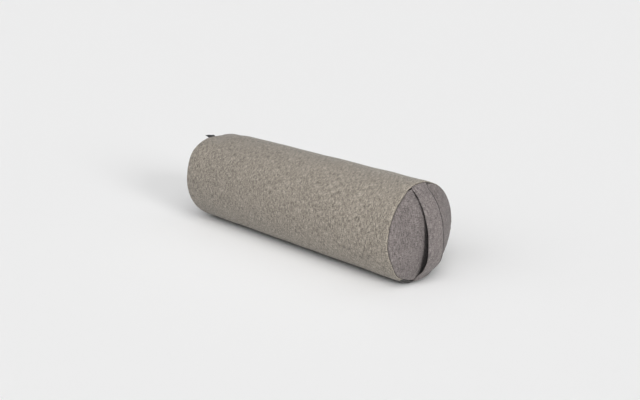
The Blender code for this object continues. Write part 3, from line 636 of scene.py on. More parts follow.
def swell():
    """Runs the closed cover as cloth under pressure, held along both end seams and
    where it stands on the floor, with spare cloth gathered near the seams. Returns
    the wrinkles of the body, the handle end and the far end."""
    rim = 0.1073
    xs = np.linspace(HALF, -HALF, SIM_RINGS)
    angles = np.linspace(0, 2 * math.pi, SIM_ROUND, endpoint=False)
    from_end = HALF - np.abs(xs)
    radii = RADIUS - 0.0027 * np.exp(-from_end / 0.0035)
    body = ideal(xs[:, None], radii[:, None], angles[None])
    points, faces = [body.reshape(-1, 3)], []
    numbers = np.arange(SIM_RINGS * SIM_ROUND).reshape(SIM_RINGS, SIM_ROUND)
    wrapped = np.concatenate([numbers, numbers[:, :1]], axis=1)
    faces.append(np.stack([wrapped[:-1, :-1], wrapped[1:, :-1], wrapped[1:, 1:], wrapped[:-1, 1:]], -1).reshape(-1, 4))
    count = body.shape[0] * body.shape[1]
    size = 2 * SIM_DISC + 1
    i, j = np.meshgrid(np.arange(size) - SIM_DISC, np.arange(size) - SIM_DISC, indexing="ij")
    ring = np.maximum(np.abs(i), np.abs(j)).astype(float)
    turn = np.where(
        np.abs(i) >= np.abs(j),
        np.where(i >= 0, 0.0, math.pi) + np.divide(j, i, out=np.zeros_like(ring), where=i != 0) * math.pi / 4,
        np.where(j >= 0, 0.5, 1.5) * math.pi - np.divide(i, j, out=np.zeros_like(ring), where=j != 0) * math.pi / 4,
    )
    discs, ring_at = [], []
    for side in (1, -1):
        r = rim * ring / SIM_DISC
        disc = ideal(side * (HALF + dome_x(r, 0.0, rim)), r, turn)
        seam_ring = numbers[0 if side > 0 else -1]
        inner = ring < SIM_DISC
        table = np.empty((size, size), int)
        table[inner] = count + np.arange(inner.sum())
        around = np.round(turn[~inner] / (2 * math.pi) * SIM_ROUND).astype(int) % SIM_ROUND
        table[~inner] = seam_ring[around]
        points.append(disc[inner])
        count += int(inner.sum())
        quads = np.stack([table[:-1, :-1], table[1:, :-1], table[1:, 1:], table[:-1, 1:]], -1).reshape(-1, 4)
        faces.append(quads if side < 0 else quads[:, ::-1])
        discs.append((disc, table))
        ring_at.append(r)
    points = np.concatenate(points)
    mesh = bpy.data.meshes.new("swelling")
    mesh.from_pydata(points.tolist(), [], np.concatenate(faces).tolist())
    mesh.update()
    obj = bpy.data.objects.new("swelling", mesh)
    SCENE.collection.objects.link(obj)
    normals = np.empty(len(points) * 3, np.float32)
    mesh.vertices.foreach_get("normal", normals)
    normals = normals.reshape(-1, 3).astype(float)
    centre = np.array([0.0, 0.0, AXIS_Z])
    if ((points - centre) * normals).sum() < 0:
        normals = -normals
        mesh.flip_normals()
    pins = obj.vertex_groups.new(name="held")
    pins.add([int(n) for n in numbers[[0, -1]].ravel()], 1.0, "REPLACE")
    pins.add([int(n) for n in np.nonzero(points[:, 2] < 0.0012)[0]], 1.0, "REPLACE")
    loose = obj.vertex_groups.new(name="loose")
    spare = np.exp(-((from_end / 0.042) ** 1.5))
    for k in range(SIM_RINGS):
        if spare[k] > 0.02:
            loose.add([int(n) for n in numbers[k]], float(spare[k]), "REPLACE")
    for (disc, table), r in zip(discs, ring_at):
        for a in range(size):
            for b in range(size):
                loose.add([int(table[a, b])], float(0.25 + 0.75 * r[a, b] / rim), "REPLACE")
    cloth = obj.modifiers.new("swell", "CLOTH")
    s = cloth.settings
    s.quality = 6
    s.mass = 0.25
    s.tension_stiffness = s.compression_stiffness = 24.0
    s.shear_stiffness = 10.0
    s.bending_stiffness = 0.35
    s.air_damping = 2.0
    s.use_pressure = True
    s.uniform_pressure_force = 4.0
    s.vertex_group_mass = "held"
    s.vertex_group_shrink = "loose"
    s.shrink_min = 0.0
    s.shrink_max = -0.05
    s.effector_weights.gravity = 0.0
    cloth.collision_settings.use_collision = False
    cloth.collision_settings.use_self_collision = False
    cloth.point_cache.frame_start = 1
    cloth.point_cache.frame_end = 20
    for number in range(1, 21):
        SCENE.frame_set(number)
    moved = obj.evaluated_get(bpy.context.evaluated_depsgraph_get()).to_mesh()
    after = np.empty(len(points) * 3, np.float32)
    moved.vertices.foreach_get("co", after)
    out = ((after.reshape(-1, 3) - points) * normals).sum(axis=1)
    SCENE.frame_set(1)
    bpy.data.objects.remove(obj, do_unlink=True)
    found = [kept_wrinkles(out[numbers], True)]
    for disc, table in discs:
        found.append(kept_wrinkles(out[table], False))
    return found


WRINKLES = swell()


def sampled(field, row, column, wrap):
    """The field's value between its points."""
    rows, columns = field.shape
    row = np.clip(row, 0, rows - 1.001)
    r0 = np.floor(row).astype(int)
    fr = row - r0
    if wrap:
        c0 = np.floor(column).astype(int)
        fc = column - c0
        c0, c1 = c0 % columns, (c0 + 1) % columns
    else:
        column = np.clip(column, 0, columns - 1.001)
        c0 = np.floor(column).astype(int)
        fc = column - c0
        c1 = c0 + 1
    top = field[r0, c0] * (1 - fc) + field[r0, c1] * fc
    low = field[r0 + 1, c0] * (1 - fc) + field[r0 + 1, c1] * fc
    return top * (1 - fr) + low * fr


def body_wrinkles(x, angle):
    if WRINKLES is None:
        return 0.0
    row = (HALF - x) / (2 * HALF) * (SIM_RINGS - 1)
    return sampled(WRINKLES[0], row, angle / (2 * math.pi) * SIM_ROUND, True)


def end_wrinkles(side, r, angle):
    if WRINKLES is None:
        return 0.0
    x, y = disc_place(r, angle, 0.1073)
    return sampled(WRINKLES[1 if side > 0 else 2], x, y, False)


# ------------------------------------------------------------ the body panel
BODY_CENTRE, BODY_RADIUS = (-0.00182, 0.10782), 0.0013
SLOT_OPEN, SLOT_SHUT, SLOT_END = 0.0067, 0.00078, 0.2640


def body_rows():
    """(x past the seam, radius) of one end, from the allowance's inner end inwards,
    and which of them lie on the allowance and the fold."""
    fold = arc(BODY_CENTRE, BODY_RADIUS, -45, 78, 10)
    flange = [along(fold[0], d) for d in (FLANGE, 0.0052, 0.0026, 0.0008)]
    line = curve([fold[-2], fold[-1], (-0.0055, 0.1096), (-0.0120, 0.1100), (-0.0300, 0.1100)], 24)
    line = np.vstack([line, [(-0.4, 0.1100)]])
    deep = (
        2.1, 2.8, 3.6, 4.5, 5.5, 6.6, 7.8, 9.2, 10.8, 12.6, 14.6, 16.8, 19.2, 21.8, 24.6, 27.6,
        30.8, 34.2, 37.8, 41.5, 45.3, 49.2, 53.0, 56.5, 59.0, 60.4, 61.4, 62.2, 62.9, 63.6, 64.3,
        65.0, 65.8, 66.8, 68.4, 71.0, 74.5, 79.0, 84.5, 91.0, 98.0,
    )
    order = np.argsort(line[:, 0])
    rows = flange + fold
    rows += [(-d * MM, float(np.interp(-d * MM, line[order, 0], line[order, 1]))) for d in deep]
    return rows


def edge_spaced(count, first, last):
    """count + 1 places from 0 to 1, closer together at both ends."""
    k = np.arange(count)
    step = np.minimum(first + (last - first) * np.minimum(k, count - 1 - k) / 18.0, last)
    at = np.concatenate([[0.0], np.cumsum(step)])
    return at / at[-1]


def slot_half(x):
    """Half the gap between the panel's long edges: open over the zip, shut past it."""
    return SLOT_SHUT + (SLOT_OPEN - SLOT_SHUT) * (1 - smooth(SLOT_END - 0.0026, SLOT_END + 0.0026, np.abs(x)))


def body_panel():
    rows = body_rows()
    near = [(HALF + x, r) for x, r in rows]
    far = [(-HALF - x, r) for x, r in rows][::-1]
    inner_x = near[-1][0]
    middle = [(x, RADIUS) for x in np.linspace(inner_x, -inner_x, 63)[1:-1]]
    profile = np.array(near + middle + far)
    depth = lengths(profile)
    depth -= depth[-1] / 2
    share = edge_spaced(352, 0.55, 2.0)
    x, r = profile[:, :1], profile[:, 1:]
    half = slot_half(x) / RADIUS
    angle = ZIP_ANGLE + half + (2 * math.pi - 2 * half) * share[None]
    base = ideal(x, r, angle)
    rough_out = base - np.array([0.0, 0.0, AXIS_Z]) * [0, 0, 1]
    rough_out[..., 0] = 0
    normal = normals_of(base, False, rough_out)

    n_flange, n_fold = 4, 10
    on = np.ones(len(profile))
    on[:n_flange] = on[-n_flange:] = 0.0
    rise = np.linspace(0.05, 0.65, n_fold)
    on[n_flange : n_flange + n_fold] = rise
    on[-n_flange - n_fold : -n_flange] = rise[::-1]
    from_near, from_far = HALF - x, x + HALF
    relief = puckers(angle, from_near, 11, 82, 0.00030, 0.011)
    relief += puckers(angle, from_near, 21, 35, 0.00042, 0.026)
    relief += puckers(angle, from_far, 51, 79, 0.00030, 0.011)
    relief += puckers(angle, from_far, 61, 33, 0.00045, 0.028)
    ends = smooth(0.0, 0.030, from_near) * smooth(0.0, 0.030, from_far)
    relief += lumps(x, angle) * ends
    relief += body_wrinkles(x, angle) * smooth(0.0, 0.006, from_near) * smooth(0.0, 0.006, from_far)
    # the cloth ripples a little along the zip, which is shorter than it
    from_slot = RADIUS * np.minimum(angle - ZIP_ANGLE, ZIP_ANGLE + 2 * math.pi - angle)
    upper = angle < ZIP_ANGLE + math.pi
    ripple = 0.5 + 0.5 * np.cos(x * 2 * math.pi / 0.036 + 2.1 * np.sin(x * 31.0) + np.where(upper, 0.0, 1.9))
    ripple = 0.0007 * ripple * np.exp(-((np.maximum(from_slot - 0.006, 0) / 0.017) ** 1.6))
    zip_side = smooth(0.014, 0.040, from_slot)
    relief = relief * (0.25 + 0.75 * zip_side) + ripple * smooth(0.262, 0.235, np.abs(x))
    relief = np.maximum(relief, -0.00045)
    relief *= on[:, None] * smooth(0.0004, 0.010, base[..., 2])
    outer = base + normal * relief[..., None]
    normal = normals_of(outer, False, rough_out)

    cloth = np.empty(outer.shape)
    cloth[..., 0] = RADIUS * (angle - ZIP_ANGLE)
    cloth[..., 1] = depth[:, None]
    cloth[..., 2] = 0.0
    edge = np.zeros(len(profile))
    edge[n_flange : len(profile) // 2] = lengths(profile[n_flange : len(profile) // 2])
    edge = np.maximum(edge, edge[::-1])[:, None] * np.ones(outer.shape[:2])
    hem = (1 - smooth(0.0074, 0.0082, from_slot)) * smooth(0.3225, 0.3165, np.abs(x)) * np.ones(outer.shape[:2])
    thick = FABRIC + 0.00042 * hem

    # painted shade underneath, like a contact shadow: deepest where the near end's seam rolls under, with a weaker band
    # along the whole length that fades out at the far end
    height = AXIS_Z + r * np.sin(angle)
    painted_shade_height = 0.0145 + 0.0045 * smooth(0.030, 0.003, from_near)
    shade = 1 - 0.85 * smooth(0.0, -0.0050, height - painted_shade_height) * smooth(0.060, 0.018, from_near)
    shade = shade * (1 - 0.63 * smooth(0.0195, 0.0125, height) * smooth(0.004, 0.050, from_far))

    b = Build()
    top = b.add(outer, cloth, edge, shade)
    b.grid(top)
    # the inner face has every second column
    back = outer[:, ::2] - normal[:, ::2] * thick[:, ::2, None]
    under = b.add(back, cloth[:, ::2], edge[:, ::2])
    b.grid(under, flip=True)
    for row, flip in ((0, True), (-1, False)):
        for k in range(0, top.shape[1] - 1, 2):
            corners = [top[row, k], top[row, k + 1], top[row, k + 2], under[row, k // 2 + 1], under[row, k // 2]]
            b.polygon(corners[::-1] if flip else corners)
    for column, step in ((0, 1), (-1, -2)):
        p, q = outer[:, column], back[:, column]
        sideways = unit(outer[:, column] - outer[:, step if column == 0 else step])
        n = normal[:, column]
        sideways = unit(sideways - n * (sideways * n).sum(axis=1, keepdims=True))
        centre, radius = (p + q) / 2, thick[:, column][:, None] / 2
        strip = [top[:, column]]
        for degrees in (50, 70, 90, 110, 130):
            t = math.radians(degrees - 90)
            place = centre + radius * (-math.sin(t) * n + math.cos(t) * sideways)
            strip.append(b.add(place, cloth[:, column]))
        strip.append(under[:, 0 if column == 0 else -1])
        b.grid(np.stack(strip, axis=1), flip=column == 0)
    return facing_out(b.made("cover_body", [BODY_CLOTH])), outer, normal, angle, profile


body, BODY_OUTER, BODY_NORMAL, BODY_ANGLE, BODY_PROFILE = body_panel()
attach(body, "cover")
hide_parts("cover_body_panel")


# ---------------------------------------------------------------- end panels
def end_rows(shift):
    """(x past the seam, radius) of an end panel's outer face, centre to allowance."""
    if shift == 0:
        centre, radius, rim = (0.00003, 0.10591), 0.0010, 0.1040
    else:
        radius = 0.0006
        outer = shift - GAP + radius + GAP
        centre = (-0.000677 + outer * ROOT_HALF, 0.10662 - outer * ROOT_HALF)
        rim = centre[1] - 0.0016
    fold = arc(centre, radius, 29.5, 135, 9)
    dome = np.array([0.0030 * i for i in range(1, 32)] + [0.0953, 0.0973, 0.0990, 0.1004, 0.1016, 0.1026, 0.1034])
    dome = dome * (rim - 0.0004) / 0.1034
    top = [(float(dome_x(r)), float(r)) for r in dome]
    # the dome eases into the fold
    bridge = curve([top[-2], top[-1], fold[0], fold[1]], 6)
    bridge = bridge[7:12:2]
    flange = [along(fold[-1], d) for d in (0.0008, 0.0026, 0.0052, FLANGE)]
    return np.array(top + [tuple(p) for p in bridge] + fold + flange)


STRAP_SEAM = STRAP_THICK + 2 * GAP
LABEL_SEAM = LABEL_THICK + 2 * GAP


def end_panel(name, side, sewn_in, centres, half_deg, seeds):
    columns = 352
    angle = np.linspace(0, 2 * math.pi, columns, endpoint=False)[None]
    plain, eased = end_rows(0), end_rows(sewn_in)
    share = np.zeros_like(angle)
    for c in centres:
        share = np.maximum(share, 1 - smooth(half_deg, half_deg + 7.4, apart(angle, math.radians(c))))
    x = plain[:, :1] + (eased - plain)[:, :1] * share
    r = plain[:, 1:] + (eased - plain)[:, 1:] * share
    base = ideal(side * (HALF + x), r, angle)
    rough_out = np.zeros(base.shape)
    rough_out[..., 0] = side * (r < 0.095)
    normal = normals_of(base, True, rough_out)
    on = np.ones(len(plain))
    on[-4:] = 0.0
    on[-13:-4] = np.linspace(0.55, 0.0, 9)
    on[-16:-13] = (0.9, 0.8, 0.65)
    inwards = 0.1060 - r
    relief = puckers(angle, inwards, seeds[0], seeds[1], 0.00042, 0.013)
    gathered = 1.0 + (1.3 * np.exp(-((apart(angle, math.radians(208)) / 36.0) ** 2)) if side > 0 else 0.0)
    relief += gathered * puckers(angle, inwards, seeds[2], seeds[3], 0.00062, 0.030)
    y, z = r * np.cos(angle), r * np.sin(angle)
    relief += 0.00045 * np.sin(y * 41 + 1.3 * side) * np.sin(z * 37 + 0.6) * smooth(0.0, 0.02, inwards)
    relief += end_wrinkles(side, r, angle) * smooth(0.0, 0.006, inwards)
    if side > 0:
        # the handle lies close to the panel here, so nothing stands up under it
        beside = (1 - smooth(16.0, 24.0, apart(angle, math.pi / 2))) * smooth(0.050, 0.064, r)
        beside = np.maximum(beside, (1 - smooth(16.0, 24.0, apart(angle, -math.pi / 2))) * smooth(0.082, 0.092, r))
        relief = relief * (1 - beside) + np.minimum(relief, 0.00012) * beside
    relief = np.maximum(relief, -0.00055) * on[:, None]
    outer = base + normal * relief[..., None]
    normal = normals_of(outer, True, rough_out)
    flat = lengths(plain)[:, None] + plain[0, 1]
    cloth = np.empty(outer.shape)
    cloth[..., 0] = flat * np.sin(angle)
    cloth[..., 1] = flat * np.cos(angle)
    cloth[..., 2] = 2.0 + side
    run = lengths(plain)
    edge = np.where(run < run[-5], run[-5] - run, 0.0)[:, None] * np.ones(outer.shape[:2])
    # the fold on this side is hidden in the seam, and stays plain
    edge = np.where(edge > 0.0026, 0.0100 + edge, edge)
    # painted shadow on the cloth behind the handle, and painted shade on the rim by the floor
    shade = 1.0
    if side > 0:
        shade = 1 - 0.58 * smooth(0.0235, 0.0180, np.abs(y - 0.0012)) * smooth(0.100, 0.092, np.abs(z))
        shade = shade * (1 - 0.88 * smooth(0.0142, 0.0094, outer[..., 2]))
    b = Build()
    top = b.add(outer, cloth, edge, shade)
    b.grid(top, wrap=True)
    back = outer - normal * FABRIC
    under = b.add(back, cloth, edge)
    b.grid(under, wrap=True, flip=True)
    b.grid(np.stack([top[-1], under[-1]]), wrap=True)
    for ring, points, flip in ((top[0], outer[0], True), (under[0], back[0], False)):
        hub = b.add(points.mean(axis=0)[None], [0.0, 0.0, 2.0 + side])[0]
        nxt = np.roll(ring, -1)
        for k in range(columns):
            b.polygon((ring[k], hub, nxt[k]) if not flip else (nxt[k], hub, ring[k]))
    made = facing_out(b.made(name, [END_CLOTH]))
    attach(made, "cover")
    return made


handle_end = end_panel("cover_end_handle_side", 1, STRAP_SEAM, (90.0, -90.0), 15.2, (11, 82, 33, 31))
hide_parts("end_panel_handle_side")
far_end = end_panel("cover_end_label_side", -1, LABEL_SEAM, (LABEL_ANGLE,), 7.7, (51, 79, 73, 29))
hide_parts("end_panel_label_side")

# ------------------------------------------------------------------- handle
HANDLE_FACE = [
    (0.0041, 0.0920), (0.0090, 0.0855), (0.0138, 0.0785), (0.0189, 0.0710),
    (0.0240, 0.0620), (0.0285, 0.0520), (0.0323, 0.0410), (0.0353, 0.0300),
    (0.0378, 0.0185), (0.0397, 0.0070), (0.0408, -0.0045), (0.0412, -0.0160),
    (0.0412, -0.0270), (0.0406, -0.0375), (0.0390, -0.0480), (0.0358, -0.0580),
    (0.0318, -0.0675), (0.0273, -0.0765), (0.0222, -0.0850), (0.0170, -0.0920),
]
STITCH_AT = 0.0221        # the handle's rows of stitches, from its middle line
PITCH = 0.0031            # one stitch to the next


def handle_line():
    """The handle's outer face on its middle line, top to bottom, before settling,
    as (x past the seam, height above the axis)."""
    outer = STRAP_THICK + GAP + 0.0006
    centre = (-0.000677 + outer * ROOT_HALF, 0.10662 - outer * ROOT_HALF)
    fold = arc(centre, outer, 135, 29.5, 12)
    top = [along(fold[0], FLANGE - 0.0006), along(fold[0], 0.0050), along(fold[0], 0.0025), *fold]
    over = STRAP_THICK + GAP + 0.0002
    hug = [(dome_x(r) + over, r) for r in (0.1010, 0.0970)]
    loose = [(dome_x(0.0985) + over + 0.0008, -0.0985)]
    free = [
        (x - float(seam_drift(math.copysign(math.pi / 2, z))) * float(smooth(0.045, 0.100, abs(z))), z)
        for x, z in HANDLE_FACE
    ]
    bottom = [(x, -z) for x, z in top]
    dense = curve(top + hug + free + loose + bottom[::-1], 16)
    have = lengths(dense)
    total = have[-1]
    at, rows = 0.0, [0.0]
    while at < total:
        # short steps over the folds, millimetre steps along the free part
        up = abs(float(np.interp(at, have, dense[:, 1])))
        at += 0.00045 if up > 0.1000 else 0.00105
        rows.append(min(at, total))
    if rows[-1] - rows[-2] < 0.0002:
        rows.pop(-2)
    return resampled(dense, np.array(rows)), np.array(rows)


def strap_surface(line, y):
    """The outer face at each point of the line and each distance y from its middle."""
    x, up = line[:, :1], line[:, 1:]
    polar = smooth(0.068, 0.094, np.abs(up))
    arc_up = np.copysign(np.sqrt(np.maximum(up * up - y * y, 0.0)), up)
    rise = up + (arc_up - up) * polar
    return settle(HALF + x + strap_twist(x, up, y), y, AXIS_Z + rise)


def strap_course(up):
    """How wide the strap is at a height above the axis, of its full width, and how far
    aside of the middle it runs: it is gathered narrower towards the top seam."""
    share = 1 - 0.066 * smooth(0.030, 0.085, up) + 0.040 * smooth(-0.010, -0.070, up)
    aside = 0.0015 * smooth(0.080, 0.050, np.abs(up)) + 0.0006 * smooth(0.060, 0.085, up)
    aside = aside - 0.0030 * smooth(0.083, 0.097, up)
    share = share - 0.060 * smooth(-0.060, -0.088, up)
    aside = aside - 0.0016 * smooth(-0.055, -0.085, up)
    return share, aside


def strap_twist(x, up, y):
    """How far the strap's left edge stands out below its top seam."""
    below = smooth(0.0018, 0.0055, x) * smooth(0.1045, 0.0985, up) * smooth(0.080, 0.096, up)
    return 0.0046 * below * smooth(0.012, -0.022, y)


def strap():
    line, run = handle_line()
    edge = STRAP_WIDTH / 2 - STRAP_THICK / 2
    y = np.array([0, 3.2, 6.4, 9.6, 12.6, 15.2, 17.5, 19.2, 20.5, 21.3, 21.75, 22.1, 22.45, 22.9, 23.7, edge / MM]) * MM
    y = np.concatenate([-y[:0:-1], y])[None]
    share, aside = strap_course(line[:, 1:])
    base = strap_surface(line, y * share + aside)
    rough_out = np.zeros(base.shape)
    rough_out[..., 0] = 1.0
    rough_out[..., 2] = np.sign(line[:, 1:]) * (np.abs(line[:, 1:]) > 0.09) * 2
    normal = normals_of(base, False, rough_out)
    up = line[:, 1][:, None]
    free = smooth(0.092, 0.060, np.abs(up))
    # the edges wave a little, and the gathers of the top seam run into the strap
    wave = 0.00042 * np.sin(run[:, None] * 2 * math.pi / 0.047 + 1.0) * smooth(0.009, 0.0255, y)
    wave += 0.00038 * np.sin(run[:, None] * 2 * math.pi / 0.058 + 2.6) * smooth(0.009, 0.0255, -y)
    wave += 0.00016 * np.sin(run[:, None] * 2 * math.pi / 0.021 + 60 * y)
    seam_fade = np.exp(-(((0.1045 - np.abs(up)) / 0.013) ** 2)) * (np.abs(up) < 0.1045)
    gather = 0.00022 * seam_fade * np.cos(y * 2 * math.pi / 0.0068 + 0.8) * (1 - smooth(0.020, 0.026, np.abs(y)))
    relief = wave * free + gather
    # sewn down along both edges: a groove, deeper at each needle hole
    along_groove = 0.5 + 0.5 * np.cos(run[:, None] * 2 * math.pi / PITCH)
    groove = np.exp(-(((np.abs(y) - STITCH_AT) / 0.00042) ** 2)) * (0.00012 + 0.00016 * along_groove)
    pillow = 0.00016 * (1 - np.exp(-(((np.abs(y) - STITCH_AT) / 0.0026) ** 2)))
    outer = base + normal * relief[..., None]
    normal = normals_of(outer, False, rough_out)
    front = outer + normal * (pillow - groove)[..., None]
    back = outer - normal * (STRAP_THICK + pillow * 0.6 - groove * 0.8)[..., None]
    middle_row = int(np.argmin(np.abs(line[:, 1])))

    cloth = np.empty(outer.shape)
    cloth[..., 0] = run[:, None]
    cloth[..., 1] = y
    cloth[..., 2] = 8.0
    # its right edge has a painted shade line, where the strap stands off the panel
    ends = np.minimum(run - 0.0076, run[-1] - 0.0076 - run)[:, None]
    edge = np.minimum(np.maximum(ends, 0.0) + 0.0010, np.maximum(0.0246 - y, 0.0) * 0.55)
    edge = np.where(edge > 0.0024, 0.0100 + edge, edge)
    found = []
    pale = 1.12
    for name, low, high in (("handle_upper", 0, middle_row + 1), ("handle_lower", middle_row, len(line))):
        b = Build()
        part = slice(low, high)
        f, g, n = front[part], back[part], normal[part]
        ring = [b.add(f, cloth[part], edge[part], pale)]
        columns = [ring[0][:, i] for i in range(f.shape[1])]
        for end, inner in ((-1, -2), (0, 1)):
            p, q = f[:, end], g[:, end]
            sideways = p - f[:, inner]
            nn = n[:, end]
            sideways = unit(sideways - nn * (sideways * nn).sum(axis=1, keepdims=True))
            centre = (p + q) / 2
            radius = np.linalg.norm(p - q, axis=1, keepdims=True) / 2
            steps = (30, 60, 90, 120, 150)
            edge_numbers = []
            for degrees in steps:
                t = math.radians(degrees)
                place = centre + radius * (math.cos(t) * nn + math.sin(t) * sideways)
                tone = cloth[part][:, end].copy()
                tone[:, 1] += math.copysign(radius.mean() * t, tone[0, 1])
                edge_numbers.append(b.add(place, tone, edge[part][:, end], pale))
            if end == -1:
                columns += edge_numbers
                # the back, which faces the panel, is a little darker: painted shade
                under = b.add(g[:, ::-1], cloth[part][:, ::-1] + [0, 0, 0.7], edge[part][:, ::-1], 0.9)
                columns += [under[:, i] for i in range(g.shape[1])]
            else:
                columns += edge_numbers[::-1]
        tube = np.stack(columns, axis=1)
        b.grid(tube, wrap=True)
        # caps: quads between the two faces and fans at the rounded edges
        wide = f.shape[1]
        for row, flip in ((0, True), (-1, False)):
            top_row, low_row = tube[row, :wide], tube[row, wide + 5 : 2 * wide + 5][::-1]
            for i in range(wide - 1):
                q = (top_row[i], top_row[i + 1], low_row[i + 1], low_row[i])
                b.polygon(q[::-1] if not flip else q)
            right = [tube[row, wide - 1], *tube[row, wide : wide + 5], tube[row, wide + 5]]
            left = [tube[row, 2 * wide + 4], *tube[row, 2 * wide + 5 :], tube[row, 0]]
            for fan in (right, left):
                b.polygon(fan[::-1] if not flip else fan)
        facing = b
        # the stitches, front and back
        for face, sign in ((f, 1.0), (g, -1.0)):
            for y_at in (-STITCH_AT, STITCH_AT):
                i = int(np.argmin(np.abs(y[0] - y_at)))
                track, ways = face[:, i], n[:, i] * sign
                place = run[part] - run[part][0]
                first = math.ceil((run[part][0] + 0.0125 * (low == 0)) / PITCH) * PITCH - run[part][0]
                stop = place[-1] - (0.0125 if high == len(line) else 0.0)
                while first + PITCH <= stop + 1e-6:
                    at = first + PITCH * np.array([0.08, 0.22, 0.5, 0.78, 0.92])
                    lift = np.array([-0.00012, 0.00016, 0.00021, 0.00016, -0.00012]) + 0.00008
                    centre = np.stack([np.interp(at, place, track[:, k]) for k in range(3)], axis=1)
                    way = unit(np.stack([np.interp(at, place, ways[:, k]) for k in range(3)], axis=1))
                    thread(facing, centre + way * lift[:, None], 0.00019, 1, twist=first)
                    first += PITCH
        found.append(facing.made(name, [END_CLOTH, STRAP_THREAD]))
    return found


handle_upper, handle_lower = strap()
for piece in (handle_upper, handle_lower):
    facing_out(piece)
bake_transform(handle_upper)
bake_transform(handle_lower)
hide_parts("handle_top_end", "handle_grip")
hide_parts("handle_bottom_end", "handle_grip")


# -------------------------------------------------------------------- label
def label():
    """A folded ribbon, sewn into the far seam: two plies with a round fold."""
    half = LABEL_THICK / 2
    base = (-0.000677 + half * ROOT_HALF, 0.10662 - half * ROOT_HALF)
    start = along(base, -0.0008 - 0.0011)
    points = [
        along(base, FLANGE - 0.0006), along(base, 0.0050), along(base, 0.0025), along(base, 0.0),
        along(base, -0.0008), start,
        (start[0] + 0.0022, start[1] + 0.0014), (start[0] + 0.0052, start[1] + 0.0026),
        (start[0] + 0.0092, start[1] + 0.0037),
    ]
    line = curve(points, 10)
    run = lengths(line)
    at = np.linspace(0, run[-1], 56)
    line = resampled(line, at)
    t = np.linspace(-1, 1, 33)[None]
    out = smooth(0.0086, 0.0105, at)[:, None]
    tail = line[int(np.argmin(np.abs(at - 0.0092)))]
    x = line[:, :1] + (line[:, :1] - tail[0]) * LABEL_SKEW * t * out
    r = line[:, 1:] + (line[:, 1:] - tail[1]) * LABEL_SKEW * t * out
    angle = math.radians(LABEL_ANGLE) + t * LABEL_WIDTH / 2 / 0.1072
    middle = ideal(-HALF - x, r, angle)
    rough_out = middle - np.array([-HALF, 0, AXIS_Z])
    rough_out[..., 0] = 0
    normal = normals_of(middle, False, rough_out)
    ripple = 0.00022 * np.sin(t * 5.1 + 0.7) * smooth(0.010, 0.019, at)[:, None]
    middle = middle + normal * ripple[..., None]
    selvedge = 1 + 0.22 * np.exp(-(((np.abs(t) - 0.93) / 0.05) ** 2))
    puff = 1 + 0.35 * np.exp(-(((at[:, None] - at[-1] + 0.0012) / 0.0012) ** 2))
    slim = half * 0.86 * selvedge * puff
    cloth = np.zeros(middle.shape)
    cloth[..., 0] = t * LABEL_WIDTH / 2
    cloth[..., 1] = at[:, None]
    b = Build()
    columns = []
    f, g = middle + normal * slim[..., None], middle - normal * slim[..., None]
    top, low = b.add(f, cloth), b.add(g, cloth)
    columns = [top[:, i] for i in range(33)]
    for end, inner, reverse in ((-1, -2, False), (0, 1, True)):
        sideways = f[:, end] - f[:, inner]
        nn = normal[:, end]
        sideways = unit(sideways - nn * (sideways * nn).sum(axis=1, keepdims=True))
        # a slit between the two plies shows along the cut edge
        numbers = []
        for height, reach in ((0.75, 0.20), (0.40, 0.22), (0.0, -0.10), (-0.40, 0.22), (-0.75, 0.20)):
            place = middle[:, end] + nn * slim[:, end][:, None] * height + sideways * (0.0003 * reach)
            numbers.append(b.add(place, cloth[:, end]))
        if end == -1:
            columns += numbers + [low[:, i] for i in range(32, -1, -1)]
        else:
            columns += numbers[::-1]
    tube = np.stack(columns, axis=1)
    b.grid(tube, wrap=True)
    # the fold at the free end
    last = len(at) - 1
    way = unit(middle[last] - middle[last - 1])
    rim = slim[last][:, None] if slim.shape[0] > 1 else slim[0][:, None]
    rows = [top[last]]
    for degrees in (35, 65, 90, 115, 145):
        a = math.radians(degrees)
        place = middle[last] + rim * (math.cos(a) * normal[last] + 1.15 * math.sin(a) * way)
        rows.append(b.add(place, cloth[last] + [0, 0.0004 * degrees / 90, 0]))
    rows.append(low[last])
    b.grid(np.stack(rows))
    for end in (0, -1):
        side = [r[end] for r in rows]
        edge = tube[last, 33:38][::-1] if end == -1 else tube[last, 71:76]
        ring = side + [int(v) for v in edge]
        b.polygon(ring if end == -1 else ring[::-1])
    cap = list(tube[0])
    b.polygon(cap[::-1])
    made = facing_out(b.made("label_blank", [RIBBON]))
    return made, start


label_piece, label_start = label()
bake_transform(label_piece)
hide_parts("label_flap", "label_tail")

# ---------------------------------------------------------------------- zip
OUT = np.array([0.0, math.cos(ZIP_ANGLE), math.sin(ZIP_ANGLE)])
ACROSS = np.array([0.0, -math.sin(ZIP_ANGLE), math.cos(ZIP_ANGLE)])
ORIGIN = np.array([X_SHIFT, 0.0, AXIS_Z])


def zip_points(x, across, out):
    x, across, out = np.broadcast_arrays(x, across, out)
    return ORIGIN + x[..., None] * [1.0, 0, 0] + across[..., None] * ACROSS + out[..., None] * OUT


COIL_IN, COIL_OUT, COIL_HALF = 0.10875, 0.11055, 0.2575
COIL_PITCH, WIRE = 0.0016, 0.00031


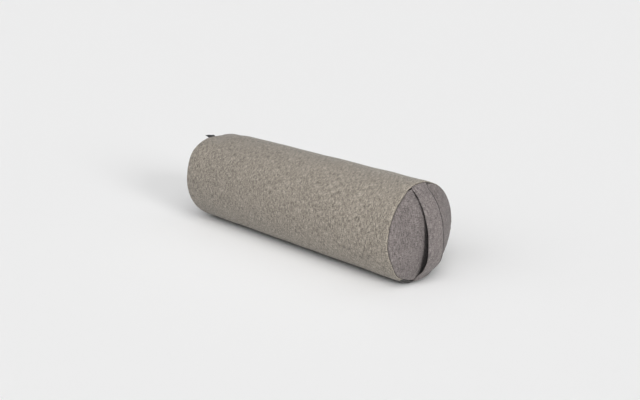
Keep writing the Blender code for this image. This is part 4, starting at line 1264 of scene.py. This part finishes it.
def coil(name, sign, phase):
    """One side's continuous coil of nylon wire, bent over the tape's edge into
    teeth, with the chain of stitches that holds it down."""
    turns = int(2 * COIL_HALF / COIL_PITCH) - 1
    low, high = COIL_IN + WIRE, COIL_OUT - WIRE
    mid, half = (low + high) / 2, (high - low) / 2
    # one turn: over the top to the tooth's head, round it, and back underneath
    loop = [
        (0.00290, mid + half, 0.00), (0.00200, mid + half, 0.03), (0.00080, mid + half * 0.96, 0.08),
        (-0.00010, mid + half * 0.80, 0.15), (-0.00042, mid + half * 0.30, 0.22),
        (-0.00042, mid - half * 0.30, 0.30), (-0.00010, mid - half * 0.80, 0.37),
        (0.00080, mid - half * 0.96, 0.44), (0.00200, mid - half, 0.50), (0.00290, mid - half, 0.62),
        (0.00325, mid - half * 0.45, 0.78), (0.00325, mid + half * 0.45, 0.92),
    ]
    loop = np.array(loop)
    k = np.arange(turns)[:, None]
    x = -COIL_HALF + COIL_PITCH * (k + 0.6 + phase + loop[None, :, 2])
    line = zip_points(x.ravel(), np.tile(sign * loop[:, 0], turns), np.tile(loop[:, 1], turns))
    b = Build()
    way = unit(np.gradient(line, axis=0))
    side = unit(np.cross(way, np.array([1.0, 0, 0])))
    other = np.cross(way, side)
    a = np.linspace(0, 2 * math.pi, 7, endpoint=False)
    # the wire is pressed wider at the heads
    head = np.tile(1 + 0.22 * np.exp(-((loop[:, 0] + 0.0004) / 0.0007) ** 2), turns)
    rings = line[:, None] + WIRE * (
        np.cos(a)[None, :, None] * side[:, None]
        + (np.sin(a)[None] * head[:, None])[..., None] * other[:, None]
    )
    cloth = np.zeros(rings.shape)
    cloth[..., 0] = lengths(line)[:, None]
    cloth[..., 1] = a[None] / (2 * math.pi)
    numbers = b.add(rings, cloth)
    b.grid(numbers, wrap=True, flip=True)
    b.polygon(numbers[0])
    b.polygon(numbers[-1][::-1])
    for t in range(turns - 1):
        at = -COIL_HALF + COIL_PITCH * (t + 0.6 + phase + 0.52)
        for lift in (0.0018, 0.0026):
            s = np.linspace(-0.5, 0.5, 4)
            place = zip_points(at + s * COIL_PITCH * 1.15, sign * (lift + s * 0.00045), COIL_OUT + 0.00008 - 0.0009 * s**2)
            thread(b, place, 0.00013, 1, sides=5, twist=at)
    made = b.made(name, [COIL, SEAM_THREAD])
    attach(made, "cover")
    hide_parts("zip_coil_upper" if sign > 0 else "zip_coil_lower")
    return made


coil("zip_teeth_upper", 1, 0.0)
coil("zip_teeth_lower", -1, 0.5)


def on_body(x, from_slot, upper, lift):
    """Points on the body panel's outer face beside the slot."""
    x = np.asarray(x, float)
    half = slot_half(x)
    arc_length = half + from_slot
    angle = ZIP_ANGLE + arc_length / RADIUS if upper else ZIP_ANGLE + 2 * math.pi - arc_length / RADIUS
    rows = BODY_PROFILE[:, 0]
    column_of = BODY_ANGLE
    found = np.empty((len(x), 3))
    for i, (xi, ai) in enumerate(zip(x, np.broadcast_to(angle, x.shape))):
        j = int(np.clip(np.searchsorted(-rows[14:-14], -xi) + 13, 14, len(rows) - 16))
        f = (rows[j] - xi) / (rows[j] - rows[j + 1])
        place = []
        for row in (j, j + 1):
            place.append([np.interp(ai, column_of[row], BODY_OUTER[row, :, c] + BODY_NORMAL[row, :, c] * lift) for c in range(3)])
        found[i] = np.array(place[0]) * (1 - f) + np.array(place[1]) * f
    return found


def body_stitches():
    """Topstitching round the zip's slot, and a bar of close stitches at each of its ends."""
    b = Build()
    pitch = 0.0030
    for upper in (True, False):
        spots = np.arange(-0.2625, 0.2625, pitch)
        fine = np.arange(-0.2640, 0.2645, 0.00075)
        low = on_body(fine, 0.0021, upper, -0.00010)
        high = on_body(fine, 0.0021, upper, 0.00017)
        for first in spots:
            at = first + pitch * np.array([0.06, 0.22, 0.5, 0.78, 0.94])
            share = np.array([0.0, 0.9, 1.0, 0.9, 0.0])[:, None]
            a = np.stack([np.interp(at, fine, low[:, k]) for k in range(3)], axis=1)
            c = np.stack([np.interp(at, fine, high[:, k]) for k in range(3)], axis=1)
            thread(b, a + (c - a) * share, 0.00019, 0, twist=first)
    for end in (-1, 1):
        for i in range(13):
            x = end * (SLOT_END + 0.0006 + 0.00034 * i)
            line = []
            for across in np.linspace(-0.0052, 0.0052, 9):
                upper = across >= 0
                p = on_body([x + 0.00008 * math.sin(7.0 * i)], max(abs(across) - 0.0007, 0.0), upper, 0.00026)[0]
                line.append(p)
            line = np.array(line)
            middle = (line[3] + line[5]) / 2
            line[4] = middle + OUT * 0.00006
            line[0] -= OUT * 0.00035
            line[-1] -= OUT * 0.00035
            thread(b, line, 0.00021, 0, twist=0.01 * i)
    made = b.made("cover_topstitching", [SEAM_THREAD])
    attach(made, "cover")
    return made


body_stitches()

# The nodes whose shape is already right keep it, and get their finish here.
for name in ("zip_tape_upper", "zip_tape_lower"):
    NODES[name].data.materials.clear()
    NODES[name].data.materials.append(TAPE)
for name in ("zip_top_stop_upper", "zip_top_stop_lower", "zip_bottom_stop", "zip_slider", "zip_pull"):
    NODES[name].data.materials.clear()
    NODES[name].data.materials.append(METAL)
for name in ("liner_tube", "liner_end_handle_side", "liner_end_label_side"):
    NODES[name].data.materials.clear()
    NODES[name].data.materials.append(CALICO)
NODES["fibre_filling"].data.materials.clear()
NODES["fibre_filling"].data.materials.append(FIBRE)

# -------------------------------------------------------- floor, light, camera
floor_mesh = bpy.data.meshes.new("studio_floor")
wide = 60.0
floor_mesh.from_pydata([(-wide, -wide, -0.0001), (wide, -wide, -0.0001), (wide, wide, -0.0001), (-wide, wide, -0.0001)], [], [(0, 1, 2, 3)])
floor = bpy.data.objects.new("studio_floor", floor_mesh)
SCENE.collection.objects.link(floor)
paper = Net("studio_paper")
place = paper.object_place()
tooth = paper.noise(place, 900.0, 2.0)
floor_mesh.materials.append(paper.finish((0.860, 0.860, 0.860, 1.0), 0.95, paper.bump(tooth, 0.04, 0.0001), Specular_IOR_Level=0.0))

world = bpy.data.worlds.new("studio")
SCENE.world = world
world.use_nodes = True
background = world.node_tree.nodes["Background"]
background.inputs["Color"].default_value = (1.0, 1.0, 1.0, 1.0)
background.inputs["Strength"].default_value = 0.012
# past the floor's edge there is a backdrop as pale as the floor, which lights nothing
backdrop = world.node_tree.nodes.new("ShaderNodeBackground")
backdrop.inputs["Color"].default_value = (0.855, 0.855, 0.855, 1.0)
backdrop.inputs["Strength"].default_value = 1.0
seen = world.node_tree.nodes.new("ShaderNodeLightPath")
choice = world.node_tree.nodes.new("ShaderNodeMixShader")
world.node_tree.links.new(seen.outputs["Is Camera Ray"], choice.inputs[0])
world.node_tree.links.new(background.outputs[0], choice.inputs[1])
world.node_tree.links.new(backdrop.outputs[0], choice.inputs[2])
world.node_tree.links.new(choice.outputs[0], world.node_tree.nodes["World Output"].inputs["Surface"])


def soft_light(name, azimuth, elevation, spread, strength):
    """A wide, distant, even light. Its azimuth is anticlockwise from +X; a strength of
    one lights a surface that faces it as much as a white room would."""
    data = bpy.data.lights.new(name, "SUN")
    data.energy = math.pi * strength
    data.angle = math.radians(spread)
    obj = bpy.data.objects.new(name, data)
    a, e = math.radians(azimuth), math.radians(elevation)
    way = Vector((math.cos(a) * math.cos(e), math.sin(a) * math.cos(e), math.sin(e)))
    obj.rotation_mode = "QUATERNION"
    obj.rotation_quaternion = way.to_track_quat("Z", "Y")
    SCENE.collection.objects.link(obj)


# a bank of lights high in front, two lower ones beside the camera, and two behind
for number, (azimuth, elevation, spread, strength) in enumerate(
    (
        (-35.0, 55.0, 50.0, 0.405), (-75.0, 45.0, 44.0, 0.208), (-10.0, 20.0, 20.0, 0.464),
        (-40.0, 32.0, 40.0, 0.100), (-100.0, 32.0, 40.0, 0.134), (-130.0, 32.0, 40.0, 0.082),
        (60.0, 55.0, 50.0, 0.104), (150.0, 55.0, 50.0, 0.095),
    )
):
    soft_light(f"soft_light_{number + 1}", azimuth, elevation, spread, strength)

camera_data = bpy.data.cameras.new("camera")
camera_data.sensor_width = 36.0
camera_data.sensor_fit = "HORIZONTAL"
camera_data.lens = 873.797 / 640.0 * 36.0
camera_data.clip_start, camera_data.clip_end = 0.05, 200.0
camera = bpy.data.objects.new("camera", camera_data)
SCENE.collection.objects.link(camera)
yaw, pitch = math.radians(-44.21958534), math.radians(17.96008544)
forward = Vector((math.sin(yaw) * math.cos(pitch), math.cos(yaw) * math.cos(pitch), -math.sin(pitch)))
right = Vector((math.cos(yaw), -math.sin(yaw), 0.0))
above = right.cross(forward)
camera.matrix_world = Matrix(
    (
        (right.x, above.x, -forward.x, 1.369233),
        (right.y, above.y, -forward.y, -1.381069),
        (right.z, above.z, -forward.z, 0.737484),
        (0.0, 0.0, 0.0, 1.0),
    )
)
SCENE.camera = camera
SCENE.view_settings.view_transform = "Standard"
SCENE.view_settings.look = "None"
